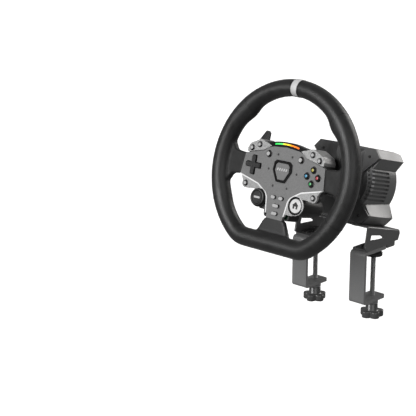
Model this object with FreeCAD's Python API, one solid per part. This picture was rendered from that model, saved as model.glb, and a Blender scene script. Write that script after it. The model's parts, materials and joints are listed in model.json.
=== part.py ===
"""Sim-racing wheel on a direct-drive motor base with a bracket that clamps to a desk edge.

Row frame: origin midway between the two desk clamps, on the desk top, at the desk's front edge.
+X is the driver's right, +Y runs away from the driver and +Z is up. Millimetres.

The wheel and the motor base are drawn in the shaft frame, whose origin is the rim's centre: x is
the driver's right, y runs along the shaft into the base and z is up across the wheel. to_row()
tilts that frame by the rake and moves it to its place above the desk.
"""
import FreeCAD, Part

import math
import os

# ---- driving dimensions --------------------------------------------------------------------

RAKE = 15.1                       # shaft slopes down towards the desk, degrees
WHEEL_CENTRE = (0.0, -117.4, 144.0)

# rim
RIM_OUTER_R = 140.0
GRIP_R = 14.0                     # leather tube
CORE_R = 6.0                      # metal ring inside it
HUB_DISC_R = 38.0                 # centre of the rim's metal frame
HUB_DISC_BORE_R = 14.0
SPOKE_Z = (-12.0, 10.0)           # lower and upper edge of the side spokes' bars
SPOKE_STEP_Y = 0.5                # where the bars reach forward to meet the ring
DOWN_BAR_HALF = 8.0
COVER_FACE_Y = -1.5               # front of the leather on the spokes
SIDE_COVER_BACK = 15.5
DOWN_COVER_BACK = 9.0
RIM_R = RIM_OUTER_R - GRIP_R      # centre line of the tube
FLAT_Z = -110.3                   # centre line of the flat bottom
FLAT_CORNER_R = 34.0
STRIPE_HALF_ANGLE = 3.1
STRIPE_DEPTH = 1.5

# face plate and what stands on it
PLATE_FRONT = -2.0
PLATE_BACK = 2.0
BOARD_FRONT = 7.0
BOARD_BACK = 8.6
FRAME_FRONT = 9.5
FRAME_BACK = 13.5
HOUSING_BACK = 26.0
HOUSING_WALL = 2.2
SCREW_PCD = 55.0
SCREW_COUNT = 6
BOSS_R = 4.5
SCREW_R = 2.5

# right halves of the outlines: x, z and corner radius, from the top centre line down
PLATE_HALF = [
    (0, 36.6, 0), (27.0, 34.2, 20), (37.6, 30.4, 3), (41.0, 26.2, 3), (77.6, 17.2, 1),
    (81.8, -15.0, 1), (42.0, -24.6, 16), (20.6, -38.0, 16), (15.4, -73.0, 0.5),
]
HOUSING_HALF = [
    (0, 42.6, 0), (30.0, 39.4, 25), (52.0, 41.0, 4), (71.0, 32.0, 4), (75.5, 17.5, 3),
    (76.5, -13.0, 3), (42.0, -25.5, 12), (30.5, -30.0, 3), (24.0, -72.0, 4),
]
POD_FRONT = -3.0
POD_SKIN = 1.0                    # back of the lower arms' light front pieces
UPPER_POD_BACK = 25.0
LOWER_ARM_BACK = 8.0
TRIM_WIDTH = 2.0

# controls
BUTTON_TRAVEL = 1.2
BUTTON_GAP = 0.3
SHOULDER_R = 3.5
MENU_R = 4.3
ACTION_R = 4.4
ACTION_RING_R = 10.4
ACTION_CENTRE = (57.8, 1.3)
MENU_X = 31.5
MENU_Z = 22.3
SHOULDER_SPOTS = {"outer": (66.0, 26.6), "inner": (51.9, 33.4)}
LOWER_SPOT = (66.6, -28.9)
DIAL_SPOT = (37.0, -46.0)
DIAL_CAN_R = 14.6
DIAL_CAN_BACK = 45.0
RING_R = 13.6                     # rotary encoder's ring
RING_INNER_R = 9.6
CAP_R = 9.2
HOME_R = 10.6
DPAD_CENTRE = (-58.2, 1.0)
DPAD_REACH = 14.3
DPAD_WIDTH = 7.0
DPAD_GAP = 1.1                    # room for the tilt
DPAD_PIVOT_Y = 4.0
SPIDER_R = 1.2
SPIDER_CLEARANCE = 0.05

# bar-shaped buttons: x, z, width and height
CENTRE_BUTTONS = {
    "mode_button_left": (-7.6, -40.3, 8.6, 5.8),
    "mode_button_right": (7.6, -40.3, 8.6, 5.8),
    "select_button_upper": (0.0, -52.6, 12.4, 5.6),
    "select_button_lower": (0.0, -64.3, 11.0, 5.6),
}

# arch of shift lights above the plate
LIGHT_COUNT = 10
LIGHT_ARC_R = 118.0
LIGHT_ARC_Z = 40.9                # top of the arch's centre line
LIGHT_SPAN = 23.6
LIGHT_HEIGHT = 2.1

# paddles
PADDLE_FRONT = 32.6
PADDLE_THICK = 3.0
PADDLE_PIN_X = 38.0
PADDLE_PIN_R = 1.5
PADDLE_PIN_LENGTH = 27.0
KNUCKLE_R = 3.6
KNUCKLE_HALF = 8.0
LUG_Z = (8.6, 13.5)
SHIFTER_BACK = 47.0

# quick release, shaft and motor
HUB_FLANGE_R = 33.0
HUB_FLANGE_BACK = 32.0
HUB_R = 24.0
HUB_BACK = 96.0
NOSE_R = 17.0                     # male half of the quick release
NOSE_FRONT = 64.0
COLLAR_R = 30.0
COLLAR_FRONT = 70.0
COLLAR_BACK = 92.0
COLLAR_CLEARANCE = 0.08
SHAFT_R = 12.0
SHAFT_FLANGE_R = 24.0
SHAFT_FLANGE_Y = (99.0, 105.0)
BASE_FRONT = 146.0
COVER_BACK = 150.0
BASE_BACK = 213.0
MOTOR_R = 60.0
MOTOR_BORE_R = 47.7
MOTOR_TOP = 50.5
MOTOR_BOTTOM = -54.0
BASE_TOP = 57.0
BASE_BOTTOM = -62.5
STATOR_Y = (159.0, 195.0)
STATOR_INNER_R = 36.0
STATOR_SLOTS = 24
ROTOR_Y = (160.0, 194.0)
ROTOR_R = 34.6
FIN_PITCH = 6.3
FIN_COUNT = 8
FIN_SLOT = 3.2
FIN_DEPTH = 4.5
FIN_Y = (152.0, 194.0)
FIN_MOUTH = 11.0                  # how far each slot runs in over the drum's front face

# shells, bearings and nose tube: outlines in x, z
WING_TOP = [(55.0, BASE_TOP, 0), (65.7, 44.0, 0), (54.6, 26.6, 0)]
WING_BOTTOM = [(65.0, -47.0), (54.0, -60.0), (50.0, BASE_BOTTOM)]
WING_EDGE_FRONT = (52.4, -30.8)
WING_EDGE_REAR = (54.5, -26.2)
REAR_SLOPE = 15.0                 # the upper shell's top falls a little at the rear
REAR_TOP = 54.4
BEARING_R = 21.0
BEARING_LENGTH = 9.0
FRONT_BEARING_Y = 140.0
REAR_BEARING_Y = 199.0
NOSE_TUBE_R = 27.0
NOSE_TUBE_FRONT = 109.0

# sockets, power inlet and power button in the rear cover
SOCKET_X = (-21.0, -7.5, 7.5, 21.0)
SOCKET_Z = -31.5
SOCKET_WIDTH = 12.0
SOCKET_HEIGHT = 11.0
SOCKET_WALL = 1.2
SOCKET_Y = (203.0, 212.6)
INLET_SPOT = (35.0, -2.0)
INLET_R = 6.5
INLET_BORE_R = 4.2
POWER_SPOT = (0.0, 31.0)
POWER_R = 6.5

# desk bracket
SHEET = 3.0
FLANGE_X = 72.2
PLATE_Y = (142.0, 227.5)
BEND_R = 2.6                      # outside of the bend between plate and flange
FOOT_THICK = 3.5
BOLT_R = 3.0
BOLT_HEAD_R = 5.0
LOW_HEAD = 1.8                    # height of the flat heads under the sloping plate

# desk clamps
CLAMP_X = 58.8
STRIP_WIDTH = 29.2
STRIP_THICK = 5.0
CLAMP_REACH = 53.6                # from the desk edge to the end of the tabs
CLAMP_OPENING = 76.4              # between the tabs
SCREW_Y = 37.0
FOOT_FRONT = 1.5                  # bracket's foot lies on the tab, from here to the tab's end
FOOT_TOP = STRIP_THICK + FOOT_THICK
ROD_R = 3.95
ROD_HOLE_R = 4.0
TAB_BOSS_R = 9.8
TAB_BOSS_LENGTH = 8.0
PAD_R = 14.0
PAD_TOP = -5.0
PAD_THICK = 4.5
STAR_R = 19.0
STAR_LOBES = 5
STAR_TURN = 45.8                  # direction of the first lobe
STAR_THICK = 10.5
STAR_NECK = 11.8

TOUCH = 0.01                      # two points this close are the same
Y_AXIS = FreeCAD.Vector(0, 1, 0)
ORIGIN = FreeCAD.Vector(0, 0, 0)


# ---- helpers -------------------------------------------------------------------------------

def vec(x, y, z):
    return FreeCAD.Vector(x, y, z)


def rounded_wire(corners, to_point):
    """Closed outline through (u, v, radius) corners, each rounded by a tangent arc."""
    count = len(corners)
    spans = []
    for i in range(count):
        u, v, radius = corners[i]
        before = corners[i - 1]
        after = corners[(i + 1) % count]
        here = vec(u, v, 0)
        to_before = vec(before[0], before[1], 0) - here
        to_after = vec(after[0], after[1], 0) - here
        to_before.normalize()
        to_after.normalize()
        half = to_before.getAngle(to_after) / 2
        if radius <= 0:
            spans.append((here, here, here))
            continue
        cut = radius / math.tan(half)
        bisector = to_before + to_after
        bisector.normalize()
        middle = here + bisector * (radius / math.sin(half) - radius)
        spans.append((here + to_before * cut, middle, here + to_after * cut))
    edges = []
    for i in range(count):
        start, middle, end = [to_point(p.x, p.y) for p in spans[i]]
        following = to_point(spans[(i + 1) % count][0].x, spans[(i + 1) % count][0].y)
        if (start - end).Length > 1e-6:
            edges.append(Part.Arc(start, middle, end).toShape())
        if (end - following).Length > 1e-6:
            edges.append(Part.LineSegment(end, following).toShape())
    return Part.Wire(edges)


def prism(corners, y0, y1):
    """Outline in x, z swept along the shaft from y0 to y1."""
    wire = rounded_wire(corners, lambda u, v: vec(u, y0, v))
    return Part.Face(wire).extrude(vec(0, y1 - y0, 0))


def side_prism(corners, x0, x1):
    """Outline in y, z swept across from x0 to x1."""
    wire = rounded_wire(corners, lambda u, v: vec(x0, u, v))
    return Part.Face(wire).extrude(vec(x1 - x0, 0, 0))


def flat_prism(corners, z0, z1):
    """Outline in x, y swept up from z0 to z1."""
    wire = rounded_wire(corners, lambda u, v: vec(u, v, z0))
    return Part.Face(wire).extrude(vec(0, 0, z1 - z0))


def rod(x, z, radius, y0, y1):
    """Cylinder along the shaft."""
    return Part.makeCylinder(radius, y1 - y0, vec(x, y0, z), Y_AXIS)


def ring(x, z, inner, outer, y0, y1):
    return rod(x, z, outer, y0, y1).cut(rod(x, z, inner, y0 - 1, y1 + 1))


def post(x, y, radius, z0, z1):
    """Upright cylinder."""
    return Part.makeCylinder(radius, z1 - z0, vec(x, y, z0), vec(0, 0, 1))


def block(x0, x1, y0, y1, z0, z1):
    return Part.makeBox(x1 - x0, y1 - y0, z1 - z0, vec(x0, y0, z0))


def mirrored(shape):
    """Copy on the driver's other side."""
    return shape.mirror(ORIGIN, vec(1, 0, 0))


def both_sides(shape):
    return [shape, mirrored(shape)]


def mirrored_corners(half):
    """Whole outline from its right half, listed from the top centre line round to the bottom."""
    left = [(-x, z, radius) for x, z, radius in reversed(half) if abs(x) > 1e-6]
    return half + left


def fuse(shapes):
    return shapes[0].multiFuse(shapes[1:]).removeSplitter()


def biggest(shape):
    """Main solid of a shape, without the slivers that a cut leaves."""
    return max(shape.Solids, key=lambda s: s.Volume)


def on_circle(radius, degrees, x=0.0, z=0.0):
    angle = math.radians(degrees)
    return x + radius * math.cos(angle), z + radius * math.sin(angle)


def screw_places():
    return [on_circle(SCREW_PCD / 2, i * 360.0 / SCREW_COUNT) for i in range(SCREW_COUNT)]


def to_row(shape):
    """Tilt the shaft frame by the rake and move it to its place above the desk."""
    placed = shape.copy()
    placed.rotate(ORIGIN, vec(1, 0, 0), -RAKE)
    placed.translate(vec(*WHEEL_CENTRE))
    return placed


def export(name, shape):
    shape.exportStep("parts/" + name + ".step")


def export_wheel(name, shapes):
    """Write one node that was drawn in the shaft frame."""
    if not isinstance(shapes, list):
        shapes = [shapes]
    placed = [to_row(s) for s in shapes]
    export(name, placed[0] if len(placed) == 1 else Part.makeCompound(placed))


# ---- rim -----------------------------------------------------------------------------------

def rim_path():
    """D-shaped centre line: a circle whose bottom is cut flat, with rounded corners."""
    corner_z = FLAT_Z + FLAT_CORNER_R
    corner_x = math.sqrt((RIM_R - FLAT_CORNER_R) ** 2 - corner_z ** 2)
    turn = math.degrees(math.atan2(corner_z, corner_x))
    side_x, side_z = on_circle(RIM_R, turn)
    mid_x, mid_z = on_circle(FLAT_CORNER_R, (turn - 90) / 2, corner_x, corner_z)
    right = vec(side_x, 0, side_z)
    left = vec(-side_x, 0, side_z)
    flat_right = vec(corner_x, 0, FLAT_Z)
    flat_left = vec(-corner_x, 0, FLAT_Z)
    return Part.Wire([
        Part.Arc(right, vec(0, 0, RIM_R), left).toShape(),
        Part.Arc(left, vec(-mid_x, 0, mid_z), flat_left).toShape(),
        Part.LineSegment(flat_left, flat_right).toShape(),
        Part.Arc(flat_right, vec(mid_x, 0, mid_z), right).toShape(),
    ])


def rim_tube(radius):
    path = rim_path()
    start = path.OrderedVertexes[0].Point
    tangent = vec(-start.z, 0, start.x)
    section = Part.Wire([Part.Circle(start, tangent, radius).toShape()])
    return Part.Solid(path.makePipeShell([section], True, True))


def spoke_bars():
    """Flat bars of the rim frame, stepped forward where they meet the ring."""
    low, high = SPOKE_Z
    half = DOWN_BAR_HALF
    side = [
        block(20, RIM_R - 4, FRAME_FRONT, FRAME_BACK, low, high),
        block(RIM_R - 24, RIM_R - 1, SPOKE_STEP_Y, FRAME_BACK, low, high),
    ]
    down = [
        block(-half, half, FRAME_FRONT, FRAME_BACK, FLAT_Z + 4, -20),
        block(-half, half, SPOKE_STEP_Y, FRAME_BACK, FLAT_Z + 1, FLAT_Z + 14),
    ]
    return side + [mirrored(s) for s in side] + down


def spoke_covers():
    """Leather-wrapped spokes: two at the sides and a trapezoid at the bottom."""
    side = prism([(77.9, 17.2, 0), (97.0, 19.0, 12), (108.0, 36.0, 12), (124.0, 34.0, 0),
                  (124.0, -38.0, 0), (107.0, -38.0, 12), (99.0, -20.0, 12),
                  (81.9, -15.8, 0)], COVER_FACE_Y, SIDE_COVER_BACK)
    down = prism([(-16.0, -73.2, 0), (16.0, -73.2, 0), (20.5, -75.0, 2), (33.0, -97.0, 10),
                  (46.0, -108.0, 0), (-46.0, -108.0, 0), (-33.0, -97.0, 10),
                  (-20.5, -75.0, 2)], COVER_FACE_Y, DOWN_COVER_BACK)
    return [side, mirrored(side), down]


def stripe_slice():
    """Wedge of space that the centre mark occupies at the top of the rim."""
    reach = RIM_OUTER_R + 20
    slope = reach * math.tan(math.radians(STRIPE_HALF_ANGLE))
    return prism([(0, 0, 0), (slope, reach, 0), (-slope, reach, 0)], -20, 20)


def make_rim():
    ring_core = rim_tube(CORE_R)
    disc = rod(0, 0, HUB_DISC_R, FRAME_FRONT, FRAME_BACK)
    frame = fuse([ring_core, disc] + spoke_bars())
    for x, z in screw_places():
        frame = frame.cut(rod(x, z, BOSS_R + 0.2, 0, 30))
    frame = frame.cut(rod(0, 0, HUB_DISC_BORE_R, 0, 30))
    grip = fuse([rim_tube(GRIP_R)] + spoke_covers()).cut(frame)
    under_stripe = rim_tube(GRIP_R - STRIPE_DEPTH)
    band = rim_tube(GRIP_R).cut(under_stripe).common(stripe_slice())
    grip = grip.cut(band)
    export_wheel("rim_frame", frame)
    export_wheel("rim_grip", grip)
    export_wheel("rim_stripe", band)


# ---- face plate, housing and pods ------------------------------------------------------------

def plate_outline():
    return mirrored_corners(PLATE_HALF)


def rounded_bar(x, z, width, height, y0, y1):
    """Bar with round ends, lying along x."""
    half_w = width / 2
    half_h = height / 2
    radius = half_h - 0.05
    corners = [(x - half_w, z - half_h, radius), (x + half_w, z - half_h, radius),
               (x + half_w, z + half_h, radius), (x - half_w, z + half_h, radius)]
    return prism(corners, y0, y1)


def cross(reach, width, y0, y1):
    x, z = DPAD_CENTRE
    half = width / 2
    radius = 1.6
    flat = prism([(x - reach, z - half, radius), (x + reach, z - half, radius),
                  (x + reach, z + half, radius), (x - reach, z + half, radius)], y0, y1)
    tall = prism([(x - half, z - reach, radius), (x + half, z - reach, radius),
                  (x + half, z + reach, radius), (x - half, z + reach, radius)], y0, y1)
    return fuse([flat, tall])


def action_places():
    x, z = ACTION_CENTRE
    names = ["action_button_right", "action_button_top", "action_button_left",
             "action_button_bottom"]
    return {name: on_circle(ACTION_RING_R, 90.0 * i, x, z) for i, name in enumerate(names)}


def plate_buttons():
    """Round buttons that pass through the face plate: name to x, z and radius."""
    spots = {"menu_button_left": (-MENU_X, MENU_Z, MENU_R),
             "menu_button_right": (MENU_X, MENU_Z, MENU_R)}
    for name, (x, z) in action_places().items():
        spots[name] = (x, z, ACTION_R)
    return spots


def pod_buttons():
    """Round buttons that sit in pockets of the pods: name to x, z and radius."""
    spots = {}
    for place, (x, z) in SHOULDER_SPOTS.items():
        spots["shoulder_button_right_" + place] = (x, z, SHOULDER_R)
        spots["shoulder_button_left_" + place] = (-x, z, SHOULDER_R)
    x, z = LOWER_SPOT
    spots["lower_button_right"] = (x, z, SHOULDER_R)
    spots["lower_button_left"] = (-x, z, SHOULDER_R)
    return spots


def make_face_plate():
    plate = prism(plate_outline(), PLATE_FRONT, PLATE_BACK)
    for x, z, radius in plate_buttons().values():
        plate = plate.cut(rod(x, z, radius + BUTTON_GAP, -5, 5))
    for x, z, width, height in CENTRE_BUTTONS.values():
        gap = 2 * BUTTON_GAP
        plate = plate.cut(rounded_bar(x, z, width + gap, height + gap, -5, 5))
    plate = plate.cut(cross(DPAD_REACH + DPAD_GAP, DPAD_WIDTH + 2 * DPAD_GAP, -5, 5))
    for x, z in screw_places():
        sink = Part.makeCone(4.1, SCREW_R + 0.2, 2.6, vec(x, PLATE_FRONT, z), Y_AXIS)
        plate = plate.cut(fuse([sink, rod(x, z, SCREW_R + 0.2, -5, 5)]))
    export_wheel("face_plate", plate)


def make_face_screws():
    screws = []
    for x, z in screw_places():
        head = Part.makeCone(4.0, SCREW_R, 2.4, vec(x, PLATE_FRONT + 0.1, z), Y_AXIS)
        shank = rod(x, z, SCREW_R, 0.4, HUB_FLANGE_BACK - 1.0)
        hexagon = [on_circle(1.5, 60.0 * i, x, z) + (0,) for i in range(6)]
        socket = prism(hexagon, PLATE_FRONT, PLATE_FRONT + 2.2)
        screws.append(fuse([head, shank]).cut(socket))
    export_wheel("face_screws", screws)


def housing_outline(inset=0.0):
    """Outline of the rear housing, or of its cavity when inset is given."""
    def pull(value):
        return value - math.copysign(inset, value) if value else value
    half = [(pull(x), pull(z), max(radius - inset, 0)) for x, z, radius in HOUSING_HALF]
    return mirrored_corners(half)


def upper_pod():
    """Right-hand block above the face plate that carries two shoulder buttons."""
    return prism([(28.8, 35.0, 0.4), (36.0, 30.6, 2), (41.4, 27.0, 2), (74.3, 18.9, 2),
                  (74.9, 25.0, 3), (70.6, 33.0, 4), (51.6, 42.2, 5)], POD_FRONT, UPPER_POD_BACK)


def lower_arm(y0, y1):
    """Right-hand arm under the face plate, from the small button to the dial."""
    x, z = LOWER_SPOT
    arm = prism([(78.0, -16.2, 1), (74.5, -24.0, 3), (62.0, -35.5, 3), (52.0, -34.0, 4),
                 (40.0, -36.0, 0), (40.0, -25.6, 0)], y0, y1)
    tip = rod(x, z, 7.2, y0, y1)
    web = prism([(20.2, -46.0, 2), (21.0, -38.0, 6), (40.0, -26.0, 0), (40.0, -46.0, 0),
                 (34.0, -62.0, 2), (19.0, -62.0, 2)], y0, y1)
    return fuse([arm, tip, web])


def trim_strip(width, y0, y1):
    """Band that follows the face plate's lower right edge."""
    inner = [(81.6, -15.0, 0), (42.0, -24.6, 16), (20.6, -38.0, 16), (16.6, -66.0, 0)]
    outer = [(16.6 + width, -66.0, 0), (20.6 + width, -38.0 - width * 0.7, 14),
             (42.0 + width * 0.2, -24.6 - width, 14), (78.0, -15.9 - width, 0)]
    shape = prism(inner + outer, y0, y1)
    plate = prism(plate_outline(), y0 - 1, y1 + 1)
    return shape.cut(plate)


def control_pockets():
    """Spaces that the pods and the housing leave for the round buttons and the two dials."""
    spaces = []
    for x, z, radius in pod_buttons().values():
        spaces.append(rod(x, z, radius + BUTTON_GAP, -6, 3.0))
    dial_x, dial_z = DIAL_SPOT
    spaces.append(rod(dial_x, dial_z, HOME_R + BUTTON_GAP, -6, 5.0))
    spaces.append(rod(-dial_x, dial_z, RING_R + BUTTON_GAP, -6, POD_SKIN))
    spaces.append(rod(-dial_x, dial_z, 3.3, -6, 8.0))
    return spaces


def cut_all(shape, cutters):
    for cutter in cutters:
        if shape.BoundBox.intersect(cutter.BoundBox):
            shape = shape.cut(cutter)
    return shape


def make_pods():
    """Light front pieces of the button arms. Returns them with the dark arms behind."""
    plate_space = prism(plate_outline(), -10, PLATE_BACK)
    trim_space = trim_strip(TRIM_WIDTH, -10, POD_SKIN)
    disc_space = rod(0, 0, HUB_DISC_R + 0.4, FRAME_FRONT - 0.3, FRAME_BACK + 0.3)
    bars = fuse(spoke_bars() + [disc_space])
    spaces = [plate_space] + control_pockets()
    upper = upper_pod()
    dial_x, dial_z = DIAL_SPOT
    can = rod(dial_x, dial_z, DIAL_CAN_R, PLATE_FRONT - 0.6, DIAL_CAN_BACK)
    skin = lower_arm(POD_FRONT, POD_SKIN).cut(trim_space).cut(can)
    back = fuse([lower_arm(POD_SKIN, LOWER_ARM_BACK), can]).cut(bars)
    pods = [biggest(cut_all(pod, spaces)) for pod in both_sides(upper) + both_sides(skin)]
    backs = [biggest(cut_all(arm, spaces)) for arm in both_sides(back)]
    export_wheel("control_pods", pods)
    trim = trim_strip(TRIM_WIDTH, PLATE_FRONT - 1.2, POD_SKIN)
    trim = trim.cut(rod(dial_x, dial_z, DIAL_CAN_R + 0.1, -10, 10))
    export_wheel("face_trims", both_sides(trim))
    return pods, backs


def make_switch_housing(pods, backs):
    """Rear shell: perimeter wall and back, open to the front, with a boss for each screw."""
    outer = prism(housing_outline(), PLATE_BACK, HOUSING_BACK)
    cavity = prism(housing_outline(HOUSING_WALL), PLATE_BACK - 1, HOUSING_BACK - HOUSING_WALL)
    shell = outer.cut(cavity)
    bosses = [rod(x, z, BOSS_R, PLATE_BACK, HOUSING_BACK) for x, z in screw_places()]
    shell = fuse([shell] + bosses)
    for x, z in screw_places():
        shell = shell.cut(rod(x, z, SCREW_R + 0.2, 0, 30))
    wiring_hole = rod(0, 0, 12, 0, 40)
    shell = shell.cut(wiring_hole)
    bars = fuse(spoke_bars())
    for x, z in screw_places():
        bars = bars.cut(rod(x, z, BOSS_R + 0.2, 0, 30))
    shell = shell.cut(bars)
    shell = fuse([cut_all(shell, pods)] + backs)
    export_wheel("switch_housing", biggest(cut_all(shell, control_pockets())))


def make_button_board(pods):
    """Circuit board behind the plate, with a dome switch under each plate button."""
    board = prism(housing_outline(HOUSING_WALL + 0.6), BOARD_FRONT, BOARD_BACK)
    for x, z in screw_places():
        board = board.cut(rod(x, z, BOSS_R + 0.4, 0, 30))
    for pod in pods:
        board = board.cut(pod)
    spots = list(plate_buttons().values()) + list(CENTRE_BUTTONS.values())
    domes = [rod(spot[0], spot[1], 2.0, BOARD_FRONT - 0.4, BOARD_FRONT) for spot in spots]
    export_wheel("button_board", fuse([biggest(board)] + domes))


def make_badge():
    """Shield-shaped centre badge with a raised rim and a plain panel."""
    outline = [(-12.6, 16.2, 2.5), (12.6, 16.2, 2.5), (16.6, 12.4, 2.5), (17.7, 0.6, 3),
               (8.0, -16.8, 2.5), (-8.0, -16.8, 2.5), (-17.7, 0.6, 3), (-16.6, 12.4, 2.5)]
    panel = [(x * 0.84, z * 0.84 - 0.2, radius * 0.8) for x, z, radius in outline]
    badge = prism(outline, PLATE_FRONT - 2.6, PLATE_FRONT)
    recess = prism(panel, PLATE_FRONT - 3.0, PLATE_FRONT - 1.6)
    export_wheel("badge", badge.cut(recess))


def arch_point(x, radius):
    """Height of the arch at x, for an arc that shares the lights' centre."""
    centre = LIGHT_ARC_Z - LIGHT_ARC_R
    return centre + math.sqrt(radius ** 2 - x ** 2)


def arch_slab(x0, x1, inner_r, outer_r, y0, y1):
    def point(x, radius):
        return vec(x, y0, arch_point(x, radius))
    middle = (x0 + x1) / 2
    edges = [
        Part.Arc(point(x0, inner_r), point(middle, inner_r), point(x1, inner_r)).toShape(),
        Part.LineSegment(point(x1, inner_r), point(x1, outer_r)).toShape(),
        Part.Arc(point(x1, outer_r), point(middle, outer_r), point(x0, outer_r)).toShape(),
        Part.LineSegment(point(x0, outer_r), point(x0, inner_r)).toShape(),
    ]
    return Part.Face(Part.Wire(edges)).extrude(vec(0, y1 - y0, 0))


def make_shift_lights(pods):
    half = LIGHT_HEIGHT / 2
    bezel = arch_slab(-34, 34, LIGHT_ARC_R - 9.0, LIGHT_ARC_R + 3.4, PLATE_FRONT - 0.6, 12.0)
    channel = arch_slab(-LIGHT_SPAN - 0.2, LIGHT_SPAN + 0.2, LIGHT_ARC_R - half - 0.1,
                        LIGHT_ARC_R + half + 0.1, -10, 0.0)
    bezel = bezel.cut(prism(plate_outline(), -10, PLATE_BACK))
    bezel = bezel.cut(channel)
    housing = prism(housing_outline(), PLATE_BACK, HOUSING_BACK)
    bezel = bezel.cut(housing)
    for pod in pods:
        bezel = bezel.cut(pod)
    export_wheel("led_bezel", biggest(bezel))
    step = 2 * LIGHT_SPAN / LIGHT_COUNT
    lights = []
    for i in range(LIGHT_COUNT):
        start = -LIGHT_SPAN + i * step
        lights.append(arch_slab(start + 0.15, start + step - 0.15, LIGHT_ARC_R - half,
                                LIGHT_ARC_R + half, PLATE_FRONT - 0.3, 0.0))
    export_wheel("led_lenses", lights)


# ---- buttons -------------------------------------------------------------------------------

def make_buttons():
    for name, (x, z, radius) in plate_buttons().items():
        cap = rod(x, z, radius, -5.2, 2.6)
        flange = rod(x, z, radius + 1.0, 2.4, 3.6)
        plunger = rod(x, z, 1.5, 3.6, 5.2)
        cap = cap.makeFillet(0.9, [e for e in cap.Edges if e.CenterOfMass.y < -5.1])
        export_wheel(name, fuse([cap, flange, plunger]))
    for name, (x, z, width, height) in CENTRE_BUTTONS.items():
        cap = rounded_bar(x, z, width, height, -4.8, 2.6)
        flange = rounded_bar(x, z, width + 1.6, height + 1.6, 2.4, 3.6)
        plunger = rod(x, z, 1.5, 3.6, 5.2)
        export_wheel(name, fuse([cap, flange, plunger]))
    for name, (x, z, radius) in pod_buttons().items():
        cap = rod(x, z, radius, -5.0, 1.4)
        cap = cap.makeFillet(0.8, [e for e in cap.Edges if e.CenterOfMass.y < -4.9])
        export_wheel(name, cap)
    dial_x, dial_z = DIAL_SPOT
    home = rod(dial_x, dial_z, HOME_R, -3.4, 3.4)
    home = home.makeFillet(0.6, [e for e in home.Edges if e.CenterOfMass.y < -3.3])
    export_wheel("home_button", home)


def make_encoder():
    """Left-hand rotary encoder: a ring that turns round a cap that presses."""
    x = -DIAL_SPOT[0]
    z = DIAL_SPOT[1]
    floor = rod(x, z, RING_R, -0.8, 0.6)
    wall = ring(x, z, RING_INNER_R, RING_R, -6.4, -0.8)
    stem = rod(x, z, 3.0, 0.6, 7.0)
    bore = rod(x, z, 1.6, -10, 10)
    export_wheel("encoder_ring", fuse([floor, wall, stem]).cut(bore))
    cap = rod(x, z, CAP_R, -6.0, -2.4)
    cap_stem = rod(x, z, 1.5, -2.4, 5.0)
    export_wheel("encoder_cap", fuse([cap, cap_stem]))


def make_dpad():
    """Cross-shaped pad on a small universal joint."""
    x, z = DPAD_CENTRE
    y = DPAD_PIVOT_Y
    hole_r = SPIDER_R + SPIDER_CLEARANCE
    cap = cross(DPAD_REACH, DPAD_WIDTH, -4.8, 0.8)
    ears = [block(x - 1.8, x + 1.8, 0.8, 5.5, z + low, z + high)
            for low, high in ((-4.8, -3.2), (3.2, 4.8))]
    pad = fuse([cap] + ears)
    pad = pad.cut(Part.makeCylinder(hole_r, 12, vec(x, y, z - 6), vec(0, 0, 1)))
    export_wheel("dpad", pad)
    upright = Part.makeCylinder(SPIDER_R, 9.6, vec(x, y, z - 4.8), vec(0, 0, 1))
    across = Part.makeCylinder(SPIDER_R, 11.2, vec(x - 5.6, y, z), vec(1, 0, 0))
    export_wheel("dpad_pivot", fuse([upright, across]))
    base = block(x - 7.0, x + 7.0, 6.2, BOARD_FRONT, z - 5.0, z + 5.0)
    cheeks = [block(x + low, x + high, 2.3, 6.2, z - 1.8, z + 1.8)
              for low, high in ((-5.8, -4.0), (4.0, 5.8))]
    yoke = fuse([base] + cheeks)
    yoke = yoke.cut(Part.makeCylinder(hole_r, 14, vec(x - 7, y, z), vec(1, 0, 0)))
    export_wheel("dpad_yoke", yoke)


# ---- shift paddles and quick release ---------------------------------------------------------

def upright_pin(radius, half_length):
    """Cylinder on the right-hand paddle's hinge line."""
    middle = PADDLE_FRONT + PADDLE_THICK / 2
    return Part.makeCylinder(radius, 2 * half_length, vec(PADDLE_PIN_X, middle, -half_length),
                             vec(0, 0, 1))


def right_paddle():
    y0 = PADDLE_FRONT
    y1 = PADDLE_FRONT + PADDLE_THICK
    blade = prism([(PADDLE_PIN_X, -KNUCKLE_HALF, 0), (58.0, -8.0, 6), (73.0, 2.0, 14),
                   (92.0, 8.0, 8), (94.0, 26.0, 12), (73.8, 56.4, 4.5), (66.2, 53.7, 3.5),
                   (66.5, 34.0, 20), (54.0, 10.0, 10), (PADDLE_PIN_X, KNUCKLE_HALF, 0)],
                  y0, y1)
    window = prism([(62.0, 3.6, 2), (71.0, 9.0, 2), (74.0, 18.0, 2), (69.0, 17.0, 2)],
                   y0 - 1, y1 + 1)
    knuckle = upright_pin(KNUCKLE_R, KNUCKLE_HALF)
    hole = upright_pin(PADDLE_PIN_R + 0.05, PADDLE_PIN_LENGTH)
    return fuse([blade.cut(window), knuckle]).cut(hole)


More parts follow.
